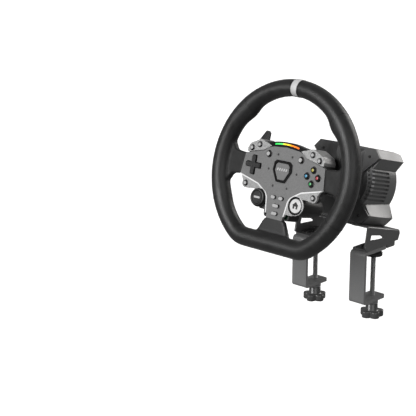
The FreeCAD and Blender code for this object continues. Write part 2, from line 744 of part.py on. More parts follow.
def make_paddles():
    paddle = right_paddle()
    export_wheel("paddle_right", paddle)
    export_wheel("paddle_left", mirrored(paddle))
    export_wheel("paddle_pins", both_sides(upright_pin(PADDLE_PIN_R, PADDLE_PIN_LENGTH / 2)))
    body = prism([(-30.0, -29.0, 6), (30.0, -29.0, 6), (30.0, 29.0, 6), (-30.0, 29.0, 6)],
                 HUB_FLANGE_BACK, SHIFTER_BACK)
    body = body.cut(rod(0, 0, HUB_R + 0.1, 0, 60))
    lugs = []
    for low, high in ((-LUG_Z[1], -LUG_Z[0]), LUG_Z):
        arm = block(26.0, PADDLE_PIN_X + 4.0, HUB_FLANGE_BACK, SHIFTER_BACK, low, high)
        eye = block(PADDLE_PIN_X - 4.0, PADDLE_PIN_X + 4.0, PADDLE_FRONT - 2.4,
                    HUB_FLANGE_BACK + 1, low, high)
        lugs += both_sides(arm) + both_sides(eye)
    body = fuse([body] + lugs)
    body = cut_all(body, both_sides(upright_pin(PADDLE_PIN_R, PADDLE_PIN_LENGTH)))
    export_wheel("shifter_body", body)


def make_quick_release():
    flange = rod(0, 0, HUB_FLANGE_R, HOUSING_BACK, HUB_FLANGE_BACK)
    barrel = rod(0, 0, HUB_R, HUB_FLANGE_BACK, HUB_BACK)
    hub = fuse([flange, barrel])
    hub = hub.cut(rod(0, 0, 12.0, 0, 120))
    hub = hub.cut(rod(0, 0, NOSE_R + 0.05, NOSE_FRONT, 120))
    for x, z in screw_places():
        hub = hub.cut(rod(x, z, SCREW_R, HOUSING_BACK - 1, HUB_FLANGE_BACK - 1))
    export_wheel("qr_hub", hub)
    collar = ring(0, 0, HUB_R + COLLAR_CLEARANCE, COLLAR_R, COLLAR_FRONT, COLLAR_BACK)
    for i in range(12):
        x, z = on_circle(COLLAR_R + 1.0, 30.0 * i)
        collar = collar.cut(rod(x, z, 2.6, COLLAR_FRONT + 4, COLLAR_BACK - 4))
    export_wheel("qr_collar", collar)
    nose = rod(0, 0, NOSE_R, NOSE_FRONT, SHAFT_FLANGE_Y[0])
    wide = rod(0, 0, SHAFT_FLANGE_R, SHAFT_FLANGE_Y[0], SHAFT_FLANGE_Y[1])
    long_part = rod(0, 0, SHAFT_R, SHAFT_FLANGE_Y[1], BASE_BACK - 7)
    shaft = fuse([nose, wide, long_part])
    export_wheel("shaft", shaft)


# ---- motor base ----------------------------------------------------------------------------

def cover_outline():
    """Front view of the base: two wide wings and a waist in front of the round motor."""
    half = [(0, BASE_TOP, 0), (55.0, BASE_TOP, 0), (65.7, 44.0, 0), (38.3, 18.3, 6),
            (38.3, -21.6, 6), (65.0, -47.0, 0), (54.0, -60.0, 0), (50.0, BASE_BOTTOM, 0)]
    return mirrored_corners(half)


def make_front_cover():
    plate = prism(cover_outline(), BASE_FRONT, COVER_BACK)
    disc = rod(0, 0, MOTOR_BORE_R - 0.1, COVER_BACK, COVER_BACK + 5)
    wide = [(-36, 54), (36, 54), (35, 18), (35, -20), (34.5, -58), (-34.5, -58), (-35, -20),
            (-35, 18)]
    narrow = [(-14, 30), (14, 30), (28, 12), (28, -12), (14, -30), (-14, -30), (-28, -12),
              (-28, 12)]
    rings = []
    for outline, y in ((wide, BASE_FRONT), (narrow, BASE_FRONT - 9)):
        points = [vec(x, y, z) for x, z in outline]
        rings.append(Part.makePolygon(points + points[:1]))
    relief = Part.makeLoft(rings, True, True)
    tube = rod(0, 0, NOSE_TUBE_R, NOSE_TUBE_FRONT, BASE_FRONT)
    cover = fuse([plate, disc, relief, tube])
    cover = cover.cut(rod(0, 0, SHAFT_R + 3, 0, 300))
    cover = cover.cut(rod(0, 0, BEARING_R, FRONT_BEARING_Y, 300))
    export_wheel("front_cover", cover)


def fin_slots():
    """Slots along the shaft on both flanks of the motor housing."""
    slots = []
    top = FIN_PITCH * (FIN_COUNT - 1) / 2
    for i in range(FIN_COUNT):
        z = top - i * FIN_PITCH
        edge = math.sqrt(MOTOR_R ** 2 - z ** 2)
        low = z - FIN_SLOT / 2
        high = z + FIN_SLOT / 2
        slot = block(edge - FIN_DEPTH, MOTOR_R + 5, FIN_Y[0], FIN_Y[1], low, high)
        mouth = block(edge - FIN_MOUTH, MOTOR_R + 5, COVER_BACK - 1, FIN_Y[0] + 1, low, high)
        slots += both_sides(slot) + both_sides(mouth)
    return slots


def motor_body():
    """Round motor body, flattened above and below where the two shells close it."""
    round_body = rod(0, 0, MOTOR_R, COVER_BACK, BASE_BACK)
    slab = block(-80, 80, COVER_BACK - 1, BASE_BACK + 1, MOTOR_BOTTOM, MOTOR_TOP)
    return round_body.common(slab)


def make_motor_housing():
    housing = motor_body()
    front_edge = [e for e in housing.Edges if e.Curve.TypeId == "Part::GeomCircle"
                  and abs(e.CenterOfMass.y - COVER_BACK) < TOUCH]
    housing = housing.makeChamfer(3.0, front_edge)
    housing = housing.cut(rod(0, 0, MOTOR_BORE_R, 100, 300))
    for slot in fin_slots():
        housing = housing.cut(slot)
    export_wheel("motor_housing", housing)


def lower_wings():
    """Lower shell's bulk. The upper edge of each wing rises towards the rear."""
    rings = []
    for y, edge in ((COVER_BACK, WING_EDGE_FRONT), (BASE_BACK, WING_EDGE_REAR)):
        half = [edge] + WING_BOTTOM
        outline = half + [(-x, z) for x, z in reversed(half)]
        points = [vec(x, y, z) for x, z in outline]
        rings.append(Part.makePolygon(points + points[:1]))
    return Part.makeLoft(rings, True, True)


def make_shells():
    body = motor_body()
    top = [(-x, z, r) for x, z, r in reversed(WING_TOP)] + WING_TOP
    upper = prism(top, COVER_BACK, BASE_BACK).cut(body)
    slope = side_prism([(BASE_BACK - REAR_SLOPE, BASE_TOP, 0), (BASE_BACK + 1, BASE_TOP + 1, 0),
                        (BASE_BACK + 1, REAR_TOP, 0), (BASE_BACK, REAR_TOP, 0)], -80, 80)
    upper = upper.cut(slope)
    pocket = block(-40, 40, COVER_BACK + 4, BASE_BACK - 16, MOTOR_TOP - 1, MOTOR_TOP + 4)
    upper = upper.cut(pocket)
    export_wheel("upper_shell", biggest(upper))
    lower = lower_wings().cut(body)
    for x, y in bracket_bolt_places():
        lower = lower.cut(post(x, y, BOLT_R, BASE_BOTTOM - 1, BASE_BOTTOM + 7))
    export_wheel("lower_shell", biggest(lower))
    board = block(-36, 36, COVER_BACK + 6, BASE_BACK - 18, MOTOR_TOP, MOTOR_TOP + 1.6)
    chips = [block(-20, -6, 165, 179, MOTOR_TOP + 1.6, MOTOR_TOP + 3.4),
             block(8, 18, 160, 170, MOTOR_TOP + 1.6, MOTOR_TOP + 3.0)]
    export_wheel("controller_board", fuse([board] + chips))


def make_motor():
    """Stator ring with teeth, rotor with magnets, and two ball bearings as plain rings."""
    stator = ring(0, 0, STATOR_INNER_R, MOTOR_BORE_R - 0.1, STATOR_Y[0], STATOR_Y[1])
    for i in range(STATOR_SLOTS):
        x, z = on_circle(STATOR_INNER_R + 1.5, i * 360.0 / STATOR_SLOTS)
        stator = stator.cut(rod(x, z, 1.6, 150, 200))
    export_wheel("stator", stator)
    rotor = ring(0, 0, SHAFT_R, ROTOR_R, ROTOR_Y[0], ROTOR_Y[1])
    rotor = rotor.cut(ring(0, 0, 18.0, 29.0, ROTOR_Y[0] - 10, ROTOR_Y[0] + 6))
    rotor = rotor.cut(ring(0, 0, 18.0, 29.0, ROTOR_Y[1] - 6, ROTOR_Y[1] + 6))
    export_wheel("rotor", rotor)
    bearings = []
    for y in (FRONT_BEARING_Y, REAR_BEARING_Y):
        bearings.append(ring(0, 0, SHAFT_R + 0.03, BEARING_R, y, y + BEARING_LENGTH))
    export_wheel("bearings", bearings)


def data_sockets():
    """Four rectangular sockets, open at the rear."""
    half_w = SOCKET_WIDTH / 2
    half_h = SOCKET_HEIGHT / 2
    floor = SOCKET_Y[0] + 1.5
    sockets = []
    for x in SOCKET_X:
        body = block(x - half_w, x + half_w, SOCKET_Y[0], SOCKET_Y[1],
                     SOCKET_Z - half_h, SOCKET_Z + half_h)
        mouth = block(x - half_w + SOCKET_WALL, x + half_w - SOCKET_WALL, floor, BASE_BACK + 1,
                      SOCKET_Z - half_h + SOCKET_WALL, SOCKET_Z + half_h - SOCKET_WALL)
        sockets.append(body.cut(mouth))
    return sockets


def make_rear_cover():
    """Recessed round cover with the sockets, the power inlet and the power button."""
    cover = rod(0, 0, MOTOR_BORE_R - 0.1, BASE_BACK - 5, BASE_BACK)
    seat = rod(0, 0, BEARING_R + 3, REAR_BEARING_Y, BASE_BACK - 5)
    cover = fuse([cover, seat])
    cover = cover.cut(rod(0, 0, BEARING_R, 0, REAR_BEARING_Y + BEARING_LENGTH))
    for x in SOCKET_X:
        hole = block(x - SOCKET_WIDTH / 2, x + SOCKET_WIDTH / 2, SOCKET_Y[0], BASE_BACK + 1,
                     SOCKET_Z - SOCKET_HEIGHT / 2, SOCKET_Z + SOCKET_HEIGHT / 2)
        cover = cover.cut(hole)
    inlet_x, inlet_z = INLET_SPOT
    cover = cover.cut(rod(inlet_x, inlet_z, INLET_R, SOCKET_Y[0], BASE_BACK + 1))
    inlet = rod(inlet_x, inlet_z, INLET_R, SOCKET_Y[0], SOCKET_Y[1])
    inlet = inlet.cut(rod(inlet_x, inlet_z, INLET_BORE_R, SOCKET_Y[0] + 1.5, BASE_BACK + 1))
    x, z = POWER_SPOT
    cover = cover.cut(rod(x, z, POWER_R + BUTTON_GAP, BASE_BACK - 4, BASE_BACK + 1))
    export_wheel("rear_cover", cover)
    export_wheel("rear_ports", data_sockets() + [inlet])
    button = rod(x, z, POWER_R, BASE_BACK - 2.2, BASE_BACK + 1.6)
    button = button.makeFillet(0.6, [e for e in button.Edges
                                     if e.CenterOfMass.y > BASE_BACK + 1.5])
    export_wheel("power_button", button)


# ---- desk bracket --------------------------------------------------------------------------

def bracket_bolt_places():
    """Four bolts that hold the base on the bracket's sloping plate."""
    return [(x, y) for x in (-34.0, 34.0) for y in (160.0, 200.0)]


def plate_end(y):
    """Place of an end of the sloping plate's top face, in y, z of the row frame."""
    end = to_row(Part.Vertex(0, y, BASE_BOTTOM)).Point
    return end.y, end.z, 0


def flange_corners():
    """Side flange in y, z of the row frame: it rises from the clamps to the sloping plate."""
    return [plate_end(PLATE_Y[0]), plate_end(PLATE_Y[1]), (87.3, 18.0, 6), (83.0, 7.8, 2),
            (74.5, 7.8, 1), (73.9, 0.3, 2), (CLAMP_REACH + 0.7, 0.3, 0),
            (CLAMP_REACH + 0.7, STRIP_THICK, 0), (8.0, STRIP_THICK, 1), (-4.0, 11.8, 3),
            (-1.8, 17.0, 2)]


def make_bracket():
    top = block(-FLANGE_X, FLANGE_X, PLATE_Y[0], PLATE_Y[1], BASE_BOTTOM - SHEET, BASE_BOTTOM)
    for x, y in bracket_bolt_places():
        slot_half = BOLT_R + 0.3
        slot = block(x - slot_half, x + slot_half, y - 4, y + 4, BASE_BOTTOM - 5, BASE_BOTTOM + 1)
        top = top.cut(slot)
    pieces = [to_row(top)]
    flange = side_prism(flange_corners(), FLANGE_X - SHEET, FLANGE_X)
    window = side_prism([(11.5, 30.6, 1.5), (37.0, 25.0, 3), (46.0, 18.6, 1), (8.8, 21.5, 2)],
                        FLANGE_X - 10, FLANGE_X + 10)
    foot = block(CLAMP_X - STRIP_WIDTH / 2, FLANGE_X, FOOT_FRONT, CLAMP_REACH, STRIP_THICK,
                 FOOT_TOP)
    side = fuse([flange.cut(window), foot])
    for x, y in foot_screw_places():
        side = side.cut(post(x, y, BOLT_R + 0.3, 0, 12))
    pieces += both_sides(side)
    bracket = fuse(pieces)
    bends = [e for e in bracket.Edges if all(on_bend(v.Point) for v in e.Vertexes)]
    export("bracket", bracket.makeFillet(BEND_R, bends))


def on_bend(point):
    """True on the outer edge between the sloping plate and a flange."""
    start_y, start_z, _ = plate_end(PLATE_Y[0])
    top = start_z - math.tan(math.radians(RAKE)) * (point.y - start_y)
    return abs(abs(point.x) - FLANGE_X) < TOUCH and abs(point.z - top) < TOUCH


def foot_screw_places():
    return [(CLAMP_X - 1.0, y) for y in (14.0, 24.0)]


def make_bracket_bolts():
    bolts = []
    for x, y in bracket_bolt_places():
        shank = post(x, y, BOLT_R, BASE_BOTTOM - SHEET, BASE_BOTTOM + 6)
        head = post(x, y, BOLT_HEAD_R, BASE_BOTTOM - SHEET - LOW_HEAD, BASE_BOTTOM - SHEET)
        bolts.append(to_row(fuse([shank, head])))
    for x, y in foot_screw_places():
        shank = post(x, y, BOLT_R, 0.6, FOOT_TOP)
        head = post(x, y, BOLT_HEAD_R, FOOT_TOP, FOOT_TOP + 3.0)
        bolts += both_sides(fuse([shank, head]))
    export("bracket_bolts", Part.makeCompound(bolts))


# ---- desk clamps ---------------------------------------------------------------------------

def clamp_frame():
    """C-shaped strip: a tab on the desk, a web down its edge and a tab below it."""
    t = STRIP_THICK
    low = -CLAMP_OPENING
    profile = [(CLAMP_REACH, t, 0), (-t, t, 6), (-t, low - t, 6), (CLAMP_REACH, low - t, 0),
               (CLAMP_REACH, low, 0), (0, low, 1.5), (0, 0, 1.5), (CLAMP_REACH, 0, 0)]
    x0 = CLAMP_X - STRIP_WIDTH / 2
    x1 = CLAMP_X + STRIP_WIDTH / 2
    strip = side_prism(profile, x0, x1)
    keep = flat_prism([(x0, -20, 0), (x1, -20, 0), (x1, CLAMP_REACH, 6), (x0, CLAMP_REACH, 6)],
                      -200, 200)
    strip = strip.common(keep)
    boss = post(CLAMP_X, SCREW_Y, TAB_BOSS_R, low - t - TAB_BOSS_LENGTH, low - t)
    frame = fuse([strip, boss])
    frame = frame.cut(post(CLAMP_X, SCREW_Y, ROD_HOLE_R, low - 60, low + 10))
    for x, y in foot_screw_places():
        frame = frame.cut(post(x, y, BOLT_R, 0.6, t + 1))
    return frame


def clamp_screw():
    """Threaded rod with a five-lobed hand knob moulded on its lower end."""
    neck_top = -CLAMP_OPENING - STRIP_THICK - TAB_BOSS_LENGTH - 0.3
    star_top = neck_top - STAR_NECK
    star_bottom = star_top - STAR_THICK
    rod_top = PAD_TOP - PAD_THICK + 2.0
    screw = post(CLAMP_X, SCREW_Y, ROD_R, star_top, rod_top)
    neck = post(CLAMP_X, SCREW_Y, TAB_BOSS_R, star_top, neck_top)
    star = post(CLAMP_X, SCREW_Y, STAR_R, star_bottom, star_top)
    for i in range(STAR_LOBES):
        angle = math.radians(STAR_TURN + 360.0 / STAR_LOBES * (i + 0.5))
        x = CLAMP_X + (STAR_R + 2.5) * math.cos(angle)
        y = SCREW_Y + (STAR_R + 2.5) * math.sin(angle)
        star = star.cut(post(x, y, 7.0, star_bottom - 1, star_top + 1))
    return fuse([screw, neck, star])


def clamp_pad():
    """Round pad that turns freely on the end of the rod."""
    pad = post(CLAMP_X, SCREW_Y, PAD_R, PAD_TOP - PAD_THICK, PAD_TOP)
    socket = post(CLAMP_X, SCREW_Y, ROD_R + 0.06, PAD_TOP - PAD_THICK - 1,
                  PAD_TOP - PAD_THICK + 2.06)
    return pad.cut(socket)


def make_clamps():
    for name, shape in (("clamp_frame", clamp_frame()), ("clamp_screw", clamp_screw()),
                        ("clamp_pad", clamp_pad())):
        export(name + "_right", shape)
        export(name + "_left", mirrored(shape))


def main():
    os.makedirs("parts", exist_ok=True)
    make_rim()
    make_face_plate()
    make_face_screws()
    pods, backs = make_pods()
    make_switch_housing(pods, backs)
    make_button_board(pods + backs)
    make_badge()
    make_shift_lights(pods)
    make_buttons()
    make_encoder()
    make_dpad()
    make_paddles()
    make_quick_release()
    make_front_cover()
    make_motor_housing()
    make_shells()
    make_motor()
    make_rear_cover()
    make_bracket()
    make_bracket_bolts()
    make_clamps()


main()
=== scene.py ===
"""Looks of the sim-racing wheel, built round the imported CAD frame.

Pieces of the wheel and the base are drawn in the shaft frame, in millimetres: x is the driver's
right, y runs along the shaft into the base and z is up across the wheel. SHAFT places them.
"""

import json
import math

import bpy
import numpy as np
from mathutils import Matrix, Vector


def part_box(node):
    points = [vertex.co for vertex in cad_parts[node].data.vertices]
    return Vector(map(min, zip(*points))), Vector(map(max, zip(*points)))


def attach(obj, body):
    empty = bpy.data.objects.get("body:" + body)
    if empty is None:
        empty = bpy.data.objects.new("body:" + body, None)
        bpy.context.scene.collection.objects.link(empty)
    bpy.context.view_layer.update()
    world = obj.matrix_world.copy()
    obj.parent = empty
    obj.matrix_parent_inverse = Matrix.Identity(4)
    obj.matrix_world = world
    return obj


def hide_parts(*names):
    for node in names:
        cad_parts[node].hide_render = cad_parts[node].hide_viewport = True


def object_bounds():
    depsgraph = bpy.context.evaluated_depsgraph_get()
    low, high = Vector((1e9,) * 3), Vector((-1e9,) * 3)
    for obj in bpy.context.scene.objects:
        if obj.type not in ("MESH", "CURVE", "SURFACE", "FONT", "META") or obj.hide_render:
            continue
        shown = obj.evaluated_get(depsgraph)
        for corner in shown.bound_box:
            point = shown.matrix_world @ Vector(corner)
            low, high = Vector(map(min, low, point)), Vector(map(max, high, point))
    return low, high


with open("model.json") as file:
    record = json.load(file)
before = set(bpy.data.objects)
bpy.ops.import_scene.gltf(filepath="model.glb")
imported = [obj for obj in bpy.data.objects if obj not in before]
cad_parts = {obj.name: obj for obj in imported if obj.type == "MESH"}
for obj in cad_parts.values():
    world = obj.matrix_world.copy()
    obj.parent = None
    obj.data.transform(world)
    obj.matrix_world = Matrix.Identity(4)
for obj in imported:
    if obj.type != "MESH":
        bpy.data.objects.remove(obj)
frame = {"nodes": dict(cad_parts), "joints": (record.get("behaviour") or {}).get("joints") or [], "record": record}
CAD_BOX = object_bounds()
NODES = frame["nodes"]
JOINTS = {joint["name"]: joint for joint in frame["joints"]}
MM = 0.001

# ---- the shaft frame, worked out from the steering joint -------------------------------------

AXIS = Vector(JOINTS["steering"]["axis"]).normalized()
CENTRE = Vector(JOINTS["steering"]["pos_m"])
UP = Vector((1, 0, 0)).cross(AXIS)
SHAFT = Matrix(((1, AXIS.x, UP.x, CENTRE.x), (0, AXIS.y, UP.y, CENTRE.y),
                (0, AXIS.z, UP.z, CENTRE.z), (0, 0, 0, 1)))
RAKE = math.asin(-AXIS.z)


def local_box(node):
    """Lowest and highest corner of a CAD node in the shaft frame, in millimetres."""
    back = SHAFT.inverted()
    points = np.array([back @ v.co for v in NODES[node].data.vertices]) / MM
    return points.min(0), points.max(0)


def front_of(node):
    """Middle x and z, half width, half height and foremost y of a CAD node, in millimetres."""
    low, high = local_box(node)
    x, _, z = (low + high) / 2
    half, _, tall = (high - low) / 2
    return x, z, half, tall, low[1]


# ---- mesh helpers ------------------------------------------------------------------------------

BEVEL_ANGLE = 30                  # edges sharper than this are rounded
WELD_REACH = 1e-6


def piece(name, points, faces, material, body, place=SHAFT, sharp=35, slot=None):
    """Mesh object from points in millimetres. It rides on a CAD body."""
    mesh = bpy.data.meshes.new(name)
    mesh.from_pydata([place @ (Vector(p) * MM) for p in points], [], faces)
    mesh.validate()
    mesh.update()
    mesh.polygons.foreach_set("use_smooth", [True] * len(mesh.polygons))
    mesh.set_sharp_from_angle(angle=math.radians(sharp))
    mesh.materials.append(material)
    made = bpy.data.objects.new(name, mesh)
    bpy.context.scene.collection.objects.link(made)
    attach(made, body)
    return made


def grid_faces(rows, columns, wrap_rows=False):
    """Quads between rings of points, each ring closed on itself."""
    faces = []
    for i in range(rows if wrap_rows else rows - 1):
        for j in range(columns):
            a = i * columns + j
            b = i * columns + (j + 1) % columns
            c = ((i + 1) % rows) * columns + (j + 1) % columns
            d = ((i + 1) % rows) * columns + j
            faces.append((a, b, c, d))
    return faces


def turned(profile, centre, steps, ripple=None):
    """Points and faces of a shape turned about a line along the shaft.

    profile is a list of (radius, y). A loop whose ends differ is capped flat at both ends.
    """
    points = []
    for radius, y in profile:
        for k in range(steps):
            angle = 2 * math.pi * k / steps
            r = radius - (ripple(angle, radius) if ripple else 0)
            points.append((centre[0] + r * math.cos(angle), y, centre[1] + r * math.sin(angle)))
    closed = profile[0] == profile[-1]
    if closed:
        points = points[:-steps]
        return points, grid_faces(len(profile) - 1, steps, wrap_rows=True)
    faces = grid_faces(len(profile), steps)
    last = (len(profile) - 1) * steps
    faces.append(tuple(reversed(range(steps))))
    faces.append(tuple(range(last, last + steps)))
    return points, faces


def rounded(corners, steps=5):
    """Outline through (u, v, radius) corners with each corner rounded by an arc."""
    outline = []
    count = len(corners)
    for i in range(count):
        u, v, radius = corners[i]
        here = Vector((u, v))
        before = (Vector(corners[i - 1][:2]) - here).normalized()
        after = (Vector(corners[(i + 1) % count][:2]) - here).normalized()
        if radius <= 0:
            outline.append(here)
            continue
        half = before.angle(after) / 2
        centre = here + (before + after).normalized() * (radius / math.sin(half))
        start = here + before * (radius / math.tan(half)) - centre
        end = here + after * (radius / math.tan(half)) - centre
        turn = start.angle_signed(end)
        for k in range(steps + 1):
            spin = Matrix.Rotation(-turn * k / steps, 2)
            outline.append(centre + spin @ start)
    return [(p.x, p.y) for p in outline]


def slab(outline, y0, y1):
    """Points and faces of an outline in x, z swept from y0 to y1."""
    count = len(outline)
    points = [(x, y0, z) for x, z in outline] + [(x, y1, z) for x, z in outline]
    faces = [(i, (i + 1) % count, count + (i + 1) % count, count + i) for i in range(count)]
    faces.append(tuple(reversed(range(count))))
    faces.append(tuple(range(count, 2 * count)))
    return points, faces


def add_bevel(target, width, segments=2):
    """Round the sharp edges of a piece by a modifier; width in millimetres."""
    bevel = target.modifiers.new("edge", "BEVEL")
    bevel.width = width * MM
    bevel.segments = segments
    bevel.limit_method = "ANGLE"
    bevel.angle_limit = math.radians(BEVEL_ANGLE)
    bevel.harden_normals = True


def soften(node, width):
    """Rounded edges on a CAD node, made by modifiers only."""
    weld = NODES[node].modifiers.new("weld", "WELD")
    weld.merge_threshold = WELD_REACH
    add_bevel(NODES[node], width)


def merged(parts):
    """One set of points and faces from several."""
    points = []
    faces = []
    for part_points, part_faces in parts:
        base = len(points)
        points += part_points
        faces += [tuple(base + i for i in face) for face in part_faces]
    return points, faces


# ---- materials: scales are in cells a metre, bump distances in metres ----------------------------

MOST = (0.3, 0.7)                 # the range that most values of a noise fall in
CLOUDS = 18.0                     # slow clouds in the roughness of a finish
PEBBLES, PEBBLE_EDGE, PEBBLE_RISE = 750.0, 0.22, 0.55
CREASES, CREASE_RISE = 95.0, 0.9
HIDE_BUMP, HIDE_STRENGTH = 1.2e-4, 0.8
HOLE_PITCH = 2.4                  # mm between the perforations
HOLE_EDGE = (0.16, 0.24)          # in pitches from a hole's middle: still open, and closed
# the perforations are painted near black: painted shade in the holes
HOLE_SHADE = (0.002, 0.002, 0.002)
HOLE_DEPTH = 3.0
SPOKE_TINT = 0.5                  # the covers of the spokes are darker than the tube
SPOKE_MATT = 0.24                 # and less glossy
FLAKES, FLAKE_CLOUDS, FLAKE_BUMP = 2600.0, 260.0, 1.5e-5
SHADE_TURN = (0.72, 0.93)           # cosines of slope at which a button turns from its skirt, painted dark as shade, to its light top
WEAVE, WEAVE_THREADS = 420.0, 900.0
LAMP_STOPS = [(0.0, (0.02, 0.62, 0.10)), (0.30, (0.10, 0.85, 0.16)), (0.36, (0.95, 0.85, 0.05)),
              (0.60, (1.0, 0.62, 0.02)), (0.68, (1.0, 0.26, 0.01)), (1.0, (1.0, 0.16, 0.01))]
LAMP_GLOW = 0.85


class Shader:
    """Short way to write a node tree that ends in one Principled shader."""

    def __init__(self, name, roughness=0.5, metallic=0.0, **sockets):
        self.material = bpy.data.materials.new(name)
        self.material.use_nodes = True
        self.tree = self.material.node_tree
        self.bsdf = self.tree.nodes["Principled BSDF"]
        self.bsdf.inputs["Roughness"].default_value = roughness
        self.bsdf.inputs["Metallic"].default_value = metallic
        for socket, value in sockets.items():
            self.bsdf.inputs[socket.replace("_", " ")].default_value = value
        coordinates = self.node("ShaderNodeTexCoord")
        self.uv = coordinates.outputs["UV"]
        self.normal = coordinates.outputs["Normal"]
        turn = self.node("ShaderNodeMapping", Rotation=(RAKE, 0, 0))
        self.link(coordinates.outputs["Object"], turn.inputs["Vector"])
        self.place = turn.outputs["Vector"]

    def node(self, kind, **values):
        made = self.tree.nodes.new(kind)
        for key, value in values.items():
            if key in made.inputs:
                made.inputs[key].default_value = value
            else:
                setattr(made, key, value)
        return made

    def link(self, source, target):
        self.tree.links.new(source, target)

    def stretched(self, scale, source=None):
        mapping = self.node("ShaderNodeMapping", Scale=scale)
        self.link(source or self.place, mapping.inputs["Vector"])
        return mapping.outputs["Vector"]

    def noise(self, scale, detail=3.0, source=None, rough=0.55):
        made = self.node("ShaderNodeTexNoise", Scale=scale, Detail=detail, Roughness=rough)
        self.link(source or self.place, made.inputs["Vector"])
        return made.outputs["Fac"]

    def cells(self, scale, feature="DISTANCE_TO_EDGE", output="Distance", source=None,
              randomness=1.0):
        made = self.node("ShaderNodeTexVoronoi", feature=feature)
        made.inputs["Scale"].default_value = scale
        made.inputs["Randomness"].default_value = randomness
        self.link(source or self.place, made.inputs["Vector"])
        return made.outputs[output]

    def ramp(self, source, stops):
        made = self.node("ShaderNodeValToRGB")
        elements = made.color_ramp.elements
        stops = list(stops)
        while len(elements) < len(stops):
            elements.new(0.5)
        for element, (position, colour) in zip(elements, stops):
            element.position = position
            element.color = (*grey(colour), 1)
        self.link(source, made.inputs["Fac"])
        return made.outputs["Color"]

    def remap(self, source, low, high, from_low=0.0, from_high=1.0):
        made = self.node("ShaderNodeMapRange")
        for key, value in (("From Min", from_low), ("From Max", from_high), ("To Min", low),
                           ("To Max", high)):
            made.inputs[key].default_value = value
        self.link(source, made.inputs["Value"])
        return made.outputs["Result"]

    def maths(self, operation, a, b):
        made = self.node("ShaderNodeMath", operation=operation)
        for socket, value in zip(made.inputs, (a, b)):
            if isinstance(value, (int, float)):
                socket.default_value = value
            else:
                self.link(value, socket)
        return made.outputs["Value"]

    def mix(self, factor, a, b):
        made = self.node("ShaderNodeMix", data_type="RGBA")
        self.link(factor, made.inputs["Factor"])
        for key, value in (("A", a), ("B", b)):
            socket = [s for s in made.inputs if s.name == key and s.type == "RGBA"][0]
            if isinstance(value, (tuple, list)):
                socket.default_value = (*grey(value), 1)
            else:
                self.link(value, socket)
        return [s for s in made.outputs if s.type == "RGBA"][0]

    def bump(self, height, distance, strength=1.0):
        made = self.node("ShaderNodeBump", Strength=strength, Distance=distance)
        self.link(height, made.inputs["Height"])
        self.link(made.outputs["Normal"], self.bsdf.inputs["Normal"])

    def colour(self, source):
        self.link(source, self.bsdf.inputs["Base Color"])

    def rough(self, source):
        self.link(source, self.bsdf.inputs["Roughness"])


def grey(value):
    """A colour from a number or from three."""
    return (value, value, value) if isinstance(value, (int, float)) else tuple(value[:3])


def coated(name, dark, light, roughness, grain=1500, bump=2e-5, metallic=0.0, stretch=None,
           **sockets):
    """Paint, plastic or metal: fine grain in colour and bump, slow clouds in roughness."""
    shader = Shader(name, metallic=metallic, **sockets)
    source = shader.stretched(stretch) if stretch else shader.place
    fine = shader.noise(grain, 4.0, source)
    slow = shader.noise(CLOUDS, 3.0)
    shader.colour(shader.ramp(fine, zip(MOST, (dark, light))))
    shader.rough(shader.remap(slow, *roughness, *MOST))
    shader.bump(fine, bump)
    return shader.material


def leather(name, dark, light, roughness, holes=False):
    """Pebbled hide with soft creases and, where asked, fine perforations and darker spokes."""
    shader = Shader(name, Coat_Weight=0.06, Coat_Roughness=0.35, Sheen_Weight=0.08)
    pebble = shader.remap(shader.cells(PEBBLES), 0.0, 1.0, 0.0, PEBBLE_EDGE)
    crease = shader.noise(CREASES, 4.0)
    tint = shader.ramp(crease, [(0.25, dark), (0.75, light)])
    height = shader.maths("ADD", shader.maths("MULTIPLY", pebble, PEBBLE_RISE),
                          shader.maths("MULTIPLY", crease, CREASE_RISE))
    rough = shader.remap(crease, *roughness, *MOST)
    if holes:
        zone = shader.node("ShaderNodeAttribute", attribute_name="perforated").outputs["Fac"]
        dots = shader.cells(1 / HOLE_PITCH, "F1", source=shader.uv, randomness=0.0)
        open_dot = shader.remap(dots, 1.0, 0.0, *HOLE_EDGE)
        hole = shader.maths("MULTIPLY", open_dot, zone)
        # painted shade in each hole
        tint = shader.mix(hole, tint, HOLE_SHADE)
        height = shader.maths("SUBTRACT", height, shader.maths("MULTIPLY", hole, HOLE_DEPTH))
        spoke = shader.node("ShaderNodeAttribute", attribute_name="spoke").outputs["Fac"]
        tint = shader.mix(spoke, tint, grey(dark * SPOKE_TINT))
        rough = shader.maths("ADD", rough, shader.maths("MULTIPLY", spoke, SPOKE_MATT))
    shader.colour(tint)
    shader.rough(rough)
    shader.bump(height, HIDE_BUMP, HIDE_STRENGTH)
    return shader.material


def sparkling(name, dark, light, roughness):
    """Metallic paint with small flakes."""
    shader = Shader(name, metallic=0.45, roughness=roughness)
    flakes = shader.cells(FLAKES, "F1", "Color")
    fleck = shader.node("ShaderNodeSeparateColor")
    shader.link(flakes, fleck.inputs["Color"])
    clouds = shader.noise(FLAKE_CLOUDS, 5.0, rough=0.7)
    value = shader.maths("ADD", shader.maths("MULTIPLY", fleck.outputs["Red"], 0.5),
                         shader.maths("MULTIPLY", clouds, 0.6))
    shader.colour(shader.ramp(value, [(0.25, dark), (0.8, light)]))
    shader.rough(shader.remap(fleck.outputs["Green"], roughness - 0.1, roughness + 0.1))
    shader.bump(fleck.outputs["Red"], FLAKE_BUMP)
    return shader.material


